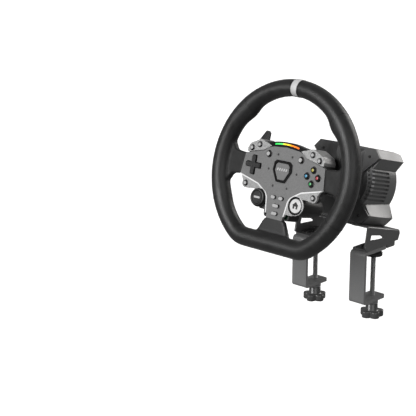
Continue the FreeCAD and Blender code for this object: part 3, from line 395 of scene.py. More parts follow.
def slope_shaded(name, top, shaded_skirt, roughness):
    """Two colours by slope: a light top, and painted shade on the sloping skirt, whichever way it is seen from."""
    shader = Shader(name, Coat_Weight=0.15, Coat_Roughness=0.2)
    dot = shader.node("ShaderNodeVectorMath", operation="DOT_PRODUCT")
    shader.link(shader.normal, dot.inputs[0])
    dot.inputs[1].default_value = -AXIS
    fine = shader.noise(1800.0, 3.0)
    light = shader.ramp(fine, zip(MOST, (top * 0.9, top)))
    dark = shader.ramp(fine, zip(MOST, (shaded_skirt * 0.8, shaded_skirt)))
    # the skirt's darkness by slope is painted shade
    lit_top = shader.remap(dot.outputs["Value"], 0.0, 1.0, *SHADE_TURN)
    shader.colour(shader.mix(lit_top, dark, light))
    shader.rough(shader.remap(fine, roughness - 0.05, roughness + 0.05))
    shader.bump(fine, 1e-5)
    return shader.material


def woven(name, dark, light, roughness):
    """Twill weave under lacquer."""
    shader = Shader(name, Coat_Weight=0.6, Coat_Roughness=0.12)
    weave = shader.stretched((WEAVE, WEAVE, WEAVE))
    checks = shader.node("ShaderNodeTexChecker", Scale=1.0)
    shader.link(weave, checks.inputs["Vector"])
    threads = shader.noise(WEAVE_THREADS, 2.0, shader.stretched((1.0, 1.0, 6.0)))
    blend = shader.maths("MULTIPLY", checks.outputs["Fac"], threads)
    shader.colour(shader.ramp(blend, [(0.1, dark), (0.6, light)]))
    shader.rough(shader.remap(threads, roughness - 0.05, roughness + 0.08))
    shader.bump(checks.outputs["Fac"], 2e-5, 0.5)
    return shader.material


def lamp_lens(name):
    """Row of lit lenses: green on the left, then yellow, then orange."""
    shader = Shader(name, roughness=0.25, Coat_Weight=0.4)
    low, high = local_box("led_lenses")
    parts = shader.node("ShaderNodeSeparateXYZ")
    shader.link(shader.place, parts.inputs["Vector"])
    along = shader.remap(parts.outputs["X"], 0.0, 1.0, low[0] * MM, high[0] * MM)
    glow = shader.ramp(along, LAMP_STOPS)
    shader.colour(glow)
    shader.link(glow, shader.bsdf.inputs["Emission Color"])
    shader.bsdf.inputs["Emission Strength"].default_value = LAMP_GLOW
    return shader.material


BLACK_LEATHER = leather("leather_black", 0.010, 0.019, (0.34, 0.46), holes=True)
STRIPE_LEATHER = leather("leather_white", 0.62, 0.74, (0.45, 0.6))
FACE_METAL = coated("face_satin", 0.150, 0.215, (0.44, 0.54), 900.0, 4e-5, 0.2)
POD_PAINT = sparkling("pod_sparkle", 0.20, 0.46, 0.42)
BRIGHT = coated("bright_trim", 0.84, 0.94, (0.25, 0.35), 700.0, 1e-5, 0.2, (1, 1, 12))
GLOSS_BLACK = coated("gloss_black", 0.004, 0.008, (0.10, 0.16), 300.0, 4e-6, Coat_Weight=0.5,
                     Coat_Roughness=0.06)
BLACK_PLASTIC = coated("black_plastic", 0.008, 0.016, (0.42, 0.55), 1600.0, 3e-5)
RUBBER = coated("black_rubber", 0.010, 0.018, (0.62, 0.75), 1200.0, 4e-5)
BASE_PAINT = coated("base_paint", 0.165, 0.215, (0.30, 0.40), 2200.0, 3e-5, 0.45)
# front cover: a darker copy of the base paint; the darkness is painted shade
FRONT_SHADED_PAINT = coated("front_shaded_paint", 0.050, 0.068, (0.30, 0.40), 2200.0, 2e-5, 0.3)
BRACKET_PAINT = coated("bracket_paint", 0.13, 0.17, (0.28, 0.38), 1900.0, 2e-5, 0.45)
CLAMP_PAINT = coated("clamp_paint", 0.19, 0.24, (0.42, 0.52), 1900.0, 4e-5, 0.15)
STEEL = coated("machined_steel", 0.48, 0.62, (0.22, 0.36), 500.0, 1e-5, 1.0, (1, 14, 1))
DARK_STEEL = coated("dark_steel", 0.035, 0.060, (0.30, 0.42), 900.0, 2e-5, 0.8)
ANODISED = coated("black_anodised", 0.012, 0.022, (0.30, 0.40), 1500.0, 1e-5, 0.6)
THREAD_STEEL = coated("thread_steel", 0.20, 0.28, (0.25, 0.36), 800.0, 1e-5, 0.6)
HAND_KNOB = coated("hand_knob", 0.050, 0.080, (0.20, 0.30), 1300.0, 3e-5, Coat_Weight=0.4)
KNOB_PLASTIC = coated("knob_plastic", 0.010, 0.020, (0.30, 0.42), 1300.0, 4e-5, Coat_Weight=0.15)
PAD_PLASTIC = coated("pad_plastic", 0.008, 0.015, (0.28, 0.38), 1200.0, 2e-5)
WHITE_PLASTIC = coated("white_plastic", 0.72, 0.84, (0.18, 0.28), 600.0, 5e-6, Coat_Weight=0.4)
MARK_GREY = coated("mark_grey", 0.50, 0.60, (0.35, 0.45), 900.0, 5e-6)
SYMBOL_BLACK = coated("symbol_black", 0.008, 0.014, (0.30, 0.40), 900.0, 5e-6)
THREAD = coated("stitch_thread", 0.020, 0.045, (0.55, 0.70), 2500.0, 6e-5)
PORT_PLASTIC = coated("port_plastic", 0.020, 0.032, (0.35, 0.45), 1400.0, 1e-5)
BOARD = coated("board_green", (0.005, 0.040, 0.016), (0.010, 0.070, 0.030), (0.3, 0.4), 700.0)
COPPER = coated("copper_winding", (0.40, 0.16, 0.07), (0.60, 0.26, 0.12), (0.3, 0.4), 500.0,
                4e-5, 0.9, (1, 8, 1))
# buttons: light tops, with painted shade on their sloping skirts
BUTTON_GREY_SHADED = slope_shaded("button_grey", 0.52, 0.012, 0.30)
ACTION_BLACK = coated("action_black", 0.006, 0.011, (0.10, 0.16), 900.0, 3e-6, Coat_Weight=0.7,
                      Coat_Roughness=0.05)
CARBON = woven("paddle_weave", 0.006, 0.028, 0.30)
LENS = lamp_lens("light_lens")

SLOT_LOOKS = {
    "bare_metal": STEEL, "rim_leather": BLACK_LEATHER, "stripe_leather": STRIPE_LEATHER,
    "face_metal": FACE_METAL, "dark_steel": DARK_STEEL, "black_plastic": BLACK_PLASTIC,
    "pod_metallic": POD_PAINT, "bright_trim": BRIGHT, "gloss_black": GLOSS_BLACK,
    "light_lens": LENS, "circuit_board": BOARD, "black_anodised": ANODISED,
    "paddle_black": CARBON, "dpad_plastic": PAD_PLASTIC, "knob_plastic": KNOB_PLASTIC,
    "home_white": WHITE_PLASTIC, "button_grey": BUTTON_GREY_SHADED, "action_gloss": ACTION_BLACK,
    "base_paint": BASE_PAINT, "port_plastic": PORT_PLASTIC, "winding_metal": COPPER,
    "bracket_paint": BRACKET_PAINT, "clamp_paint": CLAMP_PAINT, "screw_black": THREAD_STEEL,
}
# the front cover takes the darker copy of the base paint, which is painted shade
NODE_LOOKS = {"face_screws": FACE_METAL, "rim_frame": ANODISED, "front_cover": FRONT_SHADED_PAINT,
              "clamp_pad_left": RUBBER, "clamp_pad_right": RUBBER}
SOFT_EDGES = {                    # width of the rounding in mm
    "face_plate": 0.5, "control_pods": 0.9, "switch_housing": 0.8, "led_bezel": 0.5,
    "badge": 0.7, "dpad": 1.0, "paddle_left": 0.7, "paddle_right": 0.7, "front_cover": 1.3,
    "upper_shell": 1.2, "lower_shell": 1.2, "bracket": 0.9, "clamp_frame_left": 1.8,
    "clamp_frame_right": 1.8, "mode_button_left": 0.7, "mode_button_right": 0.7,
    "select_button_upper": 0.7, "select_button_lower": 0.7, "face_trims": 0.4,
    "rear_ports": 0.3, "qr_collar": 0.6, "shifter_body": 0.8,
}
NODE_SLOTS = {part["node"]: part["material_slot"] for part in frame["record"]["subparts"]}


def dress_cad():
    """Give every CAD node its finish, and round the edges that catch the light."""
    for node, slot in NODE_SLOTS.items():
        NODES[node].data.materials.clear()
        NODES[node].data.materials.append(NODE_LOOKS.get(node, SLOT_LOOKS[slot]))
    for node, width in SOFT_EDGES.items():
        soften(node, width)


# ---- leather rim -------------------------------------------------------------------------------

GRIP_LOW, GRIP_HIGH = local_box("rim_grip")
TUBE = (GRIP_HIGH[1] - GRIP_LOW[1]) / 2
RIM_R = GRIP_HIGH[0] - TUBE
FLAT = GRIP_LOW[2] + TUBE
CORNER_R = 34.0
COVER_FRONT = -1.7                # front and backs of the covers of the spokes, along the shaft
SIDE_BACK, CORE_BACK, DOWN_BACK, BAR_BACK = 9.5, 15.3, 6.6, 9.6
INNER, INNER_THIN = 14.3, 2.6     # reach of the tube towards the middle, and less at the top
DEPTH_THIN, DEPTH_MORE = 1.0, 0.5
THUMB_REST = (5.2, 43.5, 9.0, 7.0)        # height, degrees above level, spread below and above
LOW_REST = (1.6, -26.0, 9.0, 9.0)
THUMB_DEPTH = (0.8, 40, 16, 14)
TUBE_STEPS, RIM_STEPS, BAND_STEPS = 48, 360, 64
VOXEL = 1.5
SMOOTH_SHARE, SMOOTH_TIMES = 0.5, 12
HOLES_MIDDLE, HOLES_HALF, HOLES_INNER = 4.0, 26.0, -16      # perforated zone: degrees, mm
SPOKE_START, SPOKE_FADE = 14.5, 2.5       # mm inwards of the centre line
LOWER_SPOKE, LOWER_SHARE = -45, 0.35
SEAM_LIFTS = (47.0, -28.0)
BAND_EDGE = -0.8                  # a strap's two edges sink this far into the leather
STITCHES, STITCH_ANGLE = 170, 112         # how many, and where round the tube, in degrees
STITCH_HALF, STITCH_R, STITCH_SLANT = 1.5, 0.42, 0.8
STITCH_SIDES, STITCH_RINGS = 6, 5


def rim_places(count):
    """Evenly spaced (x, z, outward x, outward z, arc) along the D-shaped centre line."""
    corner_z = FLAT + CORNER_R
    corner_x = math.sqrt((RIM_R - CORNER_R) ** 2 - corner_z ** 2)
    turn = math.atan2(corner_z, corner_x)
    big = RIM_R * (math.pi - 2 * turn)
    bend = CORNER_R * (turn + math.pi / 2)
    flat = 2 * corner_x
    total = big + 2 * bend + flat
    places = []
    for i in range(count):
        s = total * i / count
        if s < big:
            angle = turn + s / RIM_R
            centre, radius = (0.0, 0.0), RIM_R
        elif s < big + bend:
            angle = math.pi - turn + (s - big) / CORNER_R
            centre, radius = (-corner_x, corner_z), CORNER_R
        elif s < big + bend + flat:
            angle = -math.pi / 2
            centre, radius = (-corner_x + s - big - bend, corner_z), CORNER_R
        else:
            angle = -math.pi / 2 + (s - big - bend - flat) / CORNER_R
            centre, radius = (corner_x, corner_z), CORNER_R
        out_x, out_z = math.cos(angle), math.sin(angle)
        places.append((centre[0] + radius * out_x, centre[1] + radius * out_z, out_x, out_z, s))
    return places


def hump(value, height, centre, before, after):
    """Smooth bump with different spreads on its two sides."""
    spread = before if value < centre else after
    return height * math.exp(-((value - centre) / spread) ** 2)


def share(value, start, length):
    """How far a value is along a stretch, from 0 to 1."""
    return max(0.0, min(1.0, (value - start) / length))


def grip_section(x, z):
    """Inner reach and half depth of the tube at a place on the rim."""
    lift = math.degrees(math.atan2(z, abs(x)))
    inner = INNER - INNER_THIN * share(lift, 35, 50)
    inner += hump(lift, *THUMB_REST) + hump(lift, *LOW_REST)
    depth = TUBE - DEPTH_THIN * share(lift, 50, 40) + hump(lift, *THUMB_DEPTH)
    return inner, min(depth, TUBE + DEPTH_MORE)


def grip_ring(place, steps, swell=0.0):
    """Ring of points round the tube at a place, swollen by so many millimetres."""
    x, z, out_x, out_z, _ = place
    inner, depth = grip_section(x, z)
    ring = []
    for k in range(steps):
        angle = 2 * math.pi * k / steps
        reach = (TUBE if math.cos(angle) > 0 else inner) + swell
        radial = reach * math.cos(angle)
        ring.append((x + radial * out_x, (depth + swell) * math.sin(angle), z + radial * out_z))
    return ring


def spoke_covers():
    """Slabs of the covers over the side spokes, their cores, the lower spoke and its bar."""
    side = [(77.0, 16.8, 0), (101.0, 18.4, 9), (109.5, 33.0, 8), (126.0, 31.0, 0),
            (126.0, -34.0, 0), (109.5, -34.0, 8), (101.0, -18.6, 9), (81.0, -15.6, 0)]
    core = [(77.0, 14.0, 0), (126.0, 14.0, 0), (126.0, -14.5, 0), (81.0, -13.5, 0)]
    down = [(-16.0, -72.6, 0), (16.0, -72.6, 0), (20.2, -75.0, 2), (31.8, -97.5, 9),
            (46.0, -110.0, 0), (-46.0, -110.0, 0), (-31.8, -97.5, 9), (-20.2, -75.0, 2)]
    bar = [(-12.5, -70.0, 0), (12.5, -70.0, 0), (12.5, -110.0, 0), (-12.5, -110.0, 0)]
    slabs = [slab(rounded(down), COVER_FRONT, DOWN_BACK),
             slab(rounded(bar), COVER_FRONT, BAR_BACK)]
    for outline, back in ((side, SIDE_BACK), (core, CORE_BACK)):
        left = [(-x, z, radius) for x, z, radius in reversed(outline)]
        slabs += [slab(rounded(outline), COVER_FRONT, back), slab(rounded(left), COVER_FRONT, back)]
    return slabs


def unwrap_rim(mesh):
    """UV in millimetres along and round the rim, and which zones are perforated or spokes."""
    points = np.empty(len(mesh.vertices) * 3)
    mesh.vertices.foreach_get("co", points)
    points = points.reshape(-1, 3)
    matrix = np.array(SHAFT.inverted())
    local = (points @ matrix[:3, :3].T + matrix[:3, 3]) / MM
    angle = np.degrees(np.arctan2(local[:, 2], np.abs(local[:, 0])))
    radial = np.hypot(local[:, 0], local[:, 2]) - RIM_R
    along = np.radians(angle) * RIM_R
    around = np.arctan2(local[:, 1], -radial) * TUBE
    fade = np.clip(HOLES_HALF - np.abs(angle - HOLES_MIDDLE), 0, 1) * (radial > HOLES_INNER)
    attribute = mesh.attributes.new("perforated", "FLOAT", "POINT")
    attribute.data.foreach_set("value", fade.astype(np.float32))
    inward = np.minimum(-radial, local[:, 2] - FLAT)
    spoke = mesh.attributes.new("spoke", "FLOAT", "POINT")
    depth = np.clip((inward - SPOKE_START) / SPOKE_FADE, 0, 1)
    depth = depth * np.where(local[:, 2] < LOWER_SPOKE, LOWER_SHARE, 1)
    spoke.data.foreach_set("value", depth.astype(np.float32))
    layer = mesh.uv_layers.new(name="wrap")
    loops = np.empty(len(mesh.loops), int)
    mesh.loops.foreach_get("vertex_index", loops)
    uv = np.stack([along[loops], around[loops]], 1)
    layer.data.foreach_set("uv", uv.ravel())


def make_rim():
    """One skin of leather over the tube and the spokes: a voxel remesh, smoothed."""
    places = rim_places(RIM_STEPS)
    tube_points = [p for place in places for p in grip_ring(place, TUBE_STEPS)]
    tube = (tube_points, grid_faces(len(places), TUBE_STEPS, wrap_rows=True))
    rough_rim = piece("rim_rough", *merged([tube] + spoke_covers()), BLACK_LEATHER, "wheel")
    remesh = rough_rim.modifiers.new("remesh", "REMESH")
    remesh.mode = "VOXEL"
    remesh.voxel_size = VOXEL * MM
    smooth = rough_rim.modifiers.new("smooth", "SMOOTH")
    smooth.factor = SMOOTH_SHARE
    smooth.iterations = SMOOTH_TIMES
    graph = bpy.context.evaluated_depsgraph_get()
    mesh = bpy.data.meshes.new_from_object(rough_rim.evaluated_get(graph))
    bpy.data.objects.remove(rough_rim)
    mesh.name = "rim_leather"
    mesh.polygons.foreach_set("use_smooth", [True] * len(mesh.polygons))
    mesh.materials.clear()
    mesh.materials.append(BLACK_LEATHER)
    unwrap_rim(mesh)
    rim = bpy.data.objects.new("rim_leather", mesh)
    bpy.context.scene.collection.objects.link(rim)
    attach(rim, "wheel")
    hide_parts("rim_grip")


def rim_band(name, lift, half_angle, swell, material, slot, left=False):
    """Strap round the tube, centred at an angle above the horizontal, on the right or left."""
    centre = math.radians(180 - lift if left else lift)
    rows = 7
    points = []
    for i in range(rows):
        across = 2 * i / (rows - 1) - 1
        angle = centre + math.radians(half_angle) * across
        out_x, out_z = math.cos(angle), math.sin(angle)
        edge = BAND_EDGE if i in (0, rows - 1) else swell
        place = (RIM_R * out_x, RIM_R * out_z, out_x, out_z, 0)
        points += grip_ring(place, BAND_STEPS, edge)
    return piece(name, points, grid_faces(rows, BAND_STEPS), material, "wheel", slot=slot, sharp=60)


def make_rim_details():
    """Centre stripe, the seams of the leather and its stitches."""
    _, high = local_box("rim_stripe")
    half_angle = math.degrees(math.atan2(high[0], high[2])) * 0.98
    stripe = rim_band("centre_stripe", 90.0, half_angle, 0.45, STRIPE_LEATHER, "stripe_leather")
    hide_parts("rim_stripe")
    for side, left in (("right", False), ("left", True)):
        for k, lift in enumerate(SEAM_LIFTS):
            rim_band("rim_seam_%s_%d" % (side, k + 1), lift, 0.32, 0.12, SYMBOL_BLACK,
                     "rim_leather", left)
        rim_band("stripe_edge_%s" % side, 90.0 - half_angle - 0.5, 0.3, 0.15, SYMBOL_BLACK,
                 "rim_leather", left)
    make_stitches()


def make_stitches():
    """Slanted stitches that close the leather on the back of the rim."""
    parts = []
    for i, place in enumerate(rim_places(STITCHES)):
        x, z, out_x, out_z, _ = place
        if abs(math.degrees(math.atan2(z, abs(x)))) < 22 or z > RIM_R - 4:
            continue
        inner, depth = grip_section(x, z)
        angle = math.radians(STITCH_ANGLE)
        radial = inner * math.cos(angle)
        base = (x + radial * out_x, depth * math.sin(angle), z + radial * out_z)
        slant = STITCH_SLANT if i % 2 else -STITCH_SLANT
        points = []
        for step in range(STITCH_RINGS):
            t = step / (STITCH_RINGS - 1) * 2 - 1
            swell = STITCH_R * math.sqrt(max(0.12, 1 - t * t))
            for k in range(STITCH_SIDES):
                turn = 2 * math.pi * k / STITCH_SIDES
                out = slant * t + swell * math.cos(turn)
                points.append((base[0] - out_z * (STITCH_HALF * t) + out_x * out,
                               base[1] + swell * math.sin(turn) + 0.05,
                               base[2] + out_x * (STITCH_HALF * t) + out_z * out))
        faces = grid_faces(STITCH_RINGS, STITCH_SIDES)
        faces += [tuple(reversed(range(STITCH_SIDES))),
                  tuple(range(len(points) - STITCH_SIDES, len(points)))]
        parts.append((points, faces))
    piece("rim_stitching", *merged(parts), THREAD, "wheel", slot="rim_leather", sharp=80)


# ---- face details: profiles are (radius, y), outlines are (x, z, corner radius) ----------------

POD_FRONT, PLATE_FRONT = -3.0, -2.0       # fronts of the pods and of the face plate
CAP_STEPS = 40
SCREW_HEAD_R = 4.0
# black disc in each screw's socket: painted shade
SOCKET_SHADE = [(0.05, -2.16), (1.6, -2.16), (1.8, -2.1), (1.8, -1.9)]
MARK_TINTS = {"top": (0.55, 0.50, 0.08), "left": (0.06, 0.36, 0.60),
              "right": (0.62, 0.07, 0.09), "bottom": (0.08, 0.48, 0.16)}
DIAL_R, DIAL_RING_R = 14.0, 14.6
KNURLS, KNURL_DEPTH, KNURL_FROM = 44, 0.28, 12.8
BADGE = [(-12.6, 16.2, 2.5), (12.6, 16.2, 2.5), (16.6, 12.4, 2.5), (17.7, 0.6, 3),
         (8.0, -16.8, 2.5), (-8.0, -16.8, 2.5), (-17.7, 0.6, 3), (-16.6, 12.4, 2.5)]
PANEL_SCALE = 0.76                # of the badge's outline
BARS, BAR_PITCH = 5, 4.2


def round_buttons():
    """Round buttons by node: middle x and z, cap radius and the front of what it stands in."""
    found = {}
    for name in sorted(NODES):
        pod = name.startswith(("shoulder", "lower_button"))
        if pod or name.startswith(("menu_button", "action_button")):
            x, z, half, _, face = front_of(name)
            radius = half - (0.0 if pod else 1.0)
            found[name] = (x, z, radius, face, POD_FRONT if pod else PLATE_FRONT)
    return found


def make_button_shade_rims():
    """Black collar in the plate round each round button, and a black shoulder on its cap: painted shade of the gap
    round the cap.
    """
    for name, (x, z, radius, face, front) in round_buttons().items():
        # the gloss black collar and shoulder are painted shade round the cap
        profile = [(radius + 0.36, front + 0.8), (radius + 0.36, front - 0.5),
                   (radius + 0.7, front - 0.75), (radius + 1.0, front - 0.7),
                   (radius + 1.35, front - 0.05), (radius + 1.35, front + 0.8),
                   (radius + 0.36, front + 0.8)]
        piece("shade_rim_of_" + name, *turned(profile, (x, z), CAP_STEPS), GLOSS_BLACK, "wheel",
              slot="gloss_black")
        cap = radius * 0.74
        shoulder = [(cap, face + 0.3), (cap, face - 0.12), (cap + 0.25, face - 0.2),
                    (radius - 0.35, face + 0.05), (radius + 0.06, face + 0.7),
                    (radius + 0.06, front - 0.2), (radius - 0.2, front - 0.2)]
        piece("shade_shoulder_of_" + name, *turned(shoulder, (x, z), CAP_STEPS), GLOSS_BLACK, name,
              slot=NODE_SLOTS[name])


def make_bar_shade_shoulders():
    """Black shoulder round the light top of each bar-shaped button: painted shade round the cap."""
    for name in ("mode_button_left", "mode_button_right", "select_button_upper",
                 "select_button_lower"):
        x, z, half, tall, face = front_of(name)
        half, tall = half - 0.8, tall - 0.8       # the cap is that much smaller than its flange
        rings = []
        for inset, y in ((0.45, face + 0.3), (0.45, face - 0.1), (0.3, face - 0.14),
                         (0.1, face - 0.02), (-0.08, face + 0.3), (-0.08, PLATE_FRONT - 0.3)):
            u, v = half - inset, tall - inset
            corner = min(v, max(0.3, tall - inset))
            ring = rounded([(x - u, z - v, corner), (x + u, z - v, corner),
                            (x + u, z + v, corner), (x - u, z + v, corner)], 6)
            rings.append([(px, y, pz) for px, pz in ring])
        count = len(rings[0])
        points = [point for ring in rings for point in ring]
        # the gloss black shoulder is painted shade round the bar's top
        piece("shade_shoulder_of_" + name, points, grid_faces(len(rings), count), GLOSS_BLACK, name,
              slot=NODE_SLOTS[name])


def make_face_screw_shade():
    """Black disc in the socket of each of the six screws in the plate: painted shade in the socket."""
    reach = local_box("face_screws")[1][0] - SCREW_HEAD_R
    parts = []
    for k in range(6):
        angle = math.radians(60 * k)
        x, z = reach * math.cos(angle), reach * math.sin(angle)
        parts.append(turned(SOCKET_SHADE, (x, z), 24))
    piece("face_screw_socket_shade", *merged(parts), SYMBOL_BLACK, "wheel", slot="dark_steel")


def make_action_marks():
    """Plain coloured dot on each action button."""
    for place, tint in MARK_TINTS.items():
        node = "action_button_" + place
        x, z, _, _, face = front_of(node)
        material = coated("mark_" + place, tuple(c * 0.85 for c in tint), tint, (0.2, 0.3), 900.0,
                          3e-6, Coat_Weight=0.6)
        profile = [(2.2, face + 0.2), (2.2, face - 0.06), (1.9, face - 0.2), (1.0, face - 0.3)]
        piece("action_mark_" + place, *turned(profile, (x, z), 32), material, node,
              slot="action_gloss")


def make_home_dial():
    """Black dial with a bright ring round the home button, and a plain house on the button."""
    x, z, half, _, face = front_of("home_button")
    inner = half + 0.4
    black = [(inner, face + 2.0), (inner, face + 0.2), (inner + 0.5, face - 0.4),
             (13.2, face - 0.5), (13.9, face - 0.2), (DIAL_R, face + 2.0), (inner, face + 2.0)]
    piece("home_dial", *turned(black, (x, z), 64), GLOSS_BLACK, "wheel", slot="gloss_black")
    silver = [(DIAL_R, face + 2.0), (DIAL_R, face - 0.2), (14.2, face - 0.4),
              (14.5, face - 0.3), (DIAL_RING_R, face + 0.1), (DIAL_RING_R, face + 2.0),
              (DIAL_R, face + 2.0)]
    piece("home_ring", *turned(silver, (x, z), 64), BRIGHT, "wheel", slot="bright_trim")
    house = [(x - 4.6, z - 4.4, 0.5), (x - 1.4, z - 4.4, 0.2), (x - 1.4, z - 0.6, 0.2),
             (x + 1.4, z - 0.6, 0.2), (x + 1.4, z - 4.4, 0.2), (x + 4.6, z - 4.4, 0.5),
             (x + 4.6, z + 0.6, 0.4), (x + 6.0, z + 0.6, 0.4), (x, z + 6.2, 0.5),
             (x - 6.0, z + 0.6, 0.4), (x - 4.6, z + 0.6, 0.4)]
    symbol = piece("home_symbol", *slab(rounded(house, 3), face - 0.22, face + 0.3),
                   SYMBOL_BLACK, "home_button", slot="gloss_black")
    add_bevel(symbol, 0.08, 1)


def knurl(angle, radius):
    """Depth of the grooves round the dial's ring."""
    return KNURL_DEPTH * (1 - math.cos(KNURLS * angle)) if radius > KNURL_FROM else 0


def make_encoder():
    """Knurled ring of the dial, and the groove and plain bar on its cap."""
    x, z, _, _, face = front_of("encoder_cap")
    ring = [(9.7, -0.9), (9.7, face + 0.3), (10.3, face - 0.5), (11.0, face - 0.7),
            (12.6, face - 0.3), (13.5, face + 0.5), (13.6, face + 1.2), (13.6, -1.4),
            (13.2, -0.9), (9.7, -0.9)]
    made = piece("dial_ring", *turned(ring, (x, z), 6 * KNURLS, knurl), KNOB_PLASTIC,
                 "encoder_ring", sharp=50, slot="knob_plastic")
    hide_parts("encoder_ring")
    groove = [(6.6, face + 0.1), (6.6, face - 0.3), (7.0, face - 0.42), (7.4, face - 0.3),
              (7.4, face + 0.1), (6.6, face + 0.1)]
    piece("dial_groove", *turned(groove, (x, z), 48), DARK_STEEL, "encoder_cap",
          slot="knob_plastic")
    bar = [(x - 5.8, z - 1.6, 1.4), (x + 5.8, z - 1.6, 1.4), (x + 5.8, z + 1.6, 1.4),
           (x - 5.8, z + 1.6, 1.4)]
    mark = piece("dial_mark", *slab(rounded(bar, 4), face - 0.3, face + 0.2), MARK_GREY,
                 "encoder_cap", slot="home_white")
    add_bevel(mark, 0.1, 1)


def make_badge_panel():
    """Crowned panel in the badge, with a plain row of slanted bars."""
    floor = front_of("badge")[4] + 1.0
    small = [(x * PANEL_SCALE, z * PANEL_SCALE - 0.2, radius * 0.8) for x, z, radius in BADGE]
    panel = piece("badge_panel", *slab(rounded(small), floor - 0.5, floor + 0.1), FACE_METAL,
                  "wheel", slot="face_metal")
    add_bevel(panel, 0.3)
    bars = []
    for k in range(BARS):
        x = -8.4 + BAR_PITCH * k
        bars.append(slab(rounded([(x - 1.7, 0.6, 0.3), (x + 0.7, 0.6, 0.3), (x + 1.9, 4.6, 0.3),
                                  (x - 0.5, 4.6, 0.3)], 2), floor - 0.75, floor - 0.3))
    piece("badge_bars", *merged(bars), MARK_GREY, "wheel", slot="bright_trim")


def make_pad_arrows():
    """Dimple ring and four arrowheads moulded on the direction pad."""
    x, z, _, _, face = front_of("dpad")
    parts = []
    for k in range(4):
        turn = Matrix.Rotation(math.pi / 2 * k, 2)
        tip = [turn @ Vector(p) for p in ((0, 12.0), (-1.9, 9.4), (1.9, 9.4))]
        parts.append(slab([(x + p.x, z + p.y) for p in tip], face - 0.16, face + 0.2))
    piece("pad_arrows", *merged(parts), BLACK_PLASTIC, "dpad", slot="dpad_plastic")
    dimple = [(2.4, face + 0.2), (2.4, face - 0.18), (2.8, face - 0.28), (3.2, face - 0.18),
              (3.2, face + 0.2), (2.4, face + 0.2)]
    piece("pad_dimple", *turned(dimple, (x, z), 32), PAD_PLASTIC, "dpad", slot="dpad_plastic")


# ---- screws and hand screws ----------------------------------------------------------------------

HEAD_STEPS = 36
HEAD_RINGS = [(1.0, 0.0), (1.0, 0.3), (0.85, 0.75), (0.62, 1.0)]     # shares of radius and height
HEX_R, HEX_FLOOR = 0.42, 0.25             # socket: share of the radius, and of the height
REAR_SCREW_R = 42.5
FRONT_SCREWS = ((46, 44), (-46, 44), (46, -50), (-46, -50))
FRONT_SET_BACK = 9.0
ROOT, CREST, PITCH = 3.45, 3.93, 1.25     # M8 thread of the clamp screws, cut a little shallow
THREAD_STEPS, THREAD_ROWS = 20, 6         # sides, and rings in each turn
KNOB_TALL, KNOB_VALLEY, KNOB_LOBE = 10.5, 13.6, 5.4
KNOB_STEPS, NECK_STEPS = 120, 48
KNOB_TURN = 45.8                  # degrees at which a lobe stands at rest


def screw_head(x, z, y, out, radius=2.6, height=1.6):
    """Button-head screw with a hexagon socket; out is -1 towards the driver and 1 to the rear."""
    count = HEAD_STEPS
    points = []
    for share_r, h in HEAD_RINGS:
        r = radius * share_r
        for k in range(count):
            angle = 2 * math.pi * k / count
            points.append((x + r * math.cos(angle), y + out * height * h, z + r * math.sin(angle)))
    for depth in (1.0, HEX_FLOOR):
        for k in range(count):
            angle = 2 * math.pi * k / count
            sector = (angle + math.pi / 6) % (math.pi / 3) - math.pi / 6
            r = radius * HEX_R / math.cos(sector)
            points.append((x + r * math.cos(angle), y + out * height * depth,
                           z + r * math.sin(angle)))
    faces = grid_faces(6, count)
    faces.append(tuple(range(5 * count, 6 * count)))
    faces.append(tuple(reversed(range(count))))
    if out > 0:
        faces = [tuple(reversed(face)) for face in faces]
    return points, faces


def make_base_screws():
    """Screws of the rear cover and of the front cover."""
    _, high = local_box("rear_cover")
    rear = [screw_head(REAR_SCREW_R * math.cos(a), REAR_SCREW_R * math.sin(a), high[1] - 0.05, 1)
            for a in [math.radians(30 + 60 * k) for k in range(6)]]
    piece("rear_cover_screws", *merged(rear), DARK_STEEL, "base", slot="dark_steel", sharp=25)
    front = local_box("front_cover")[1][1] - FRONT_SET_BACK
    corners = [screw_head(x, z, front + 0.05, -1, 2.2) for x, z in FRONT_SCREWS]
    piece("front_cover_screws", *merged(corners), DARK_STEEL, "base", slot="dark_steel",
          sharp=25)


def upright_ring(x, y, z, count, radius_at):
    """Level ring of points in the row frame; radius_at gives the radius for each step."""
    turns = [2 * math.pi * k / count for k in range(count)]
    return [(x + radius_at(k) * math.cos(turn), y + radius_at(k) * math.sin(turn), z)
            for k, turn in enumerate(turns)]


def caps(rings, count):
    """The two flat ends of a stack of rings."""
    return [tuple(reversed(range(count))), tuple(range((rings - 1) * count, rings * count))]


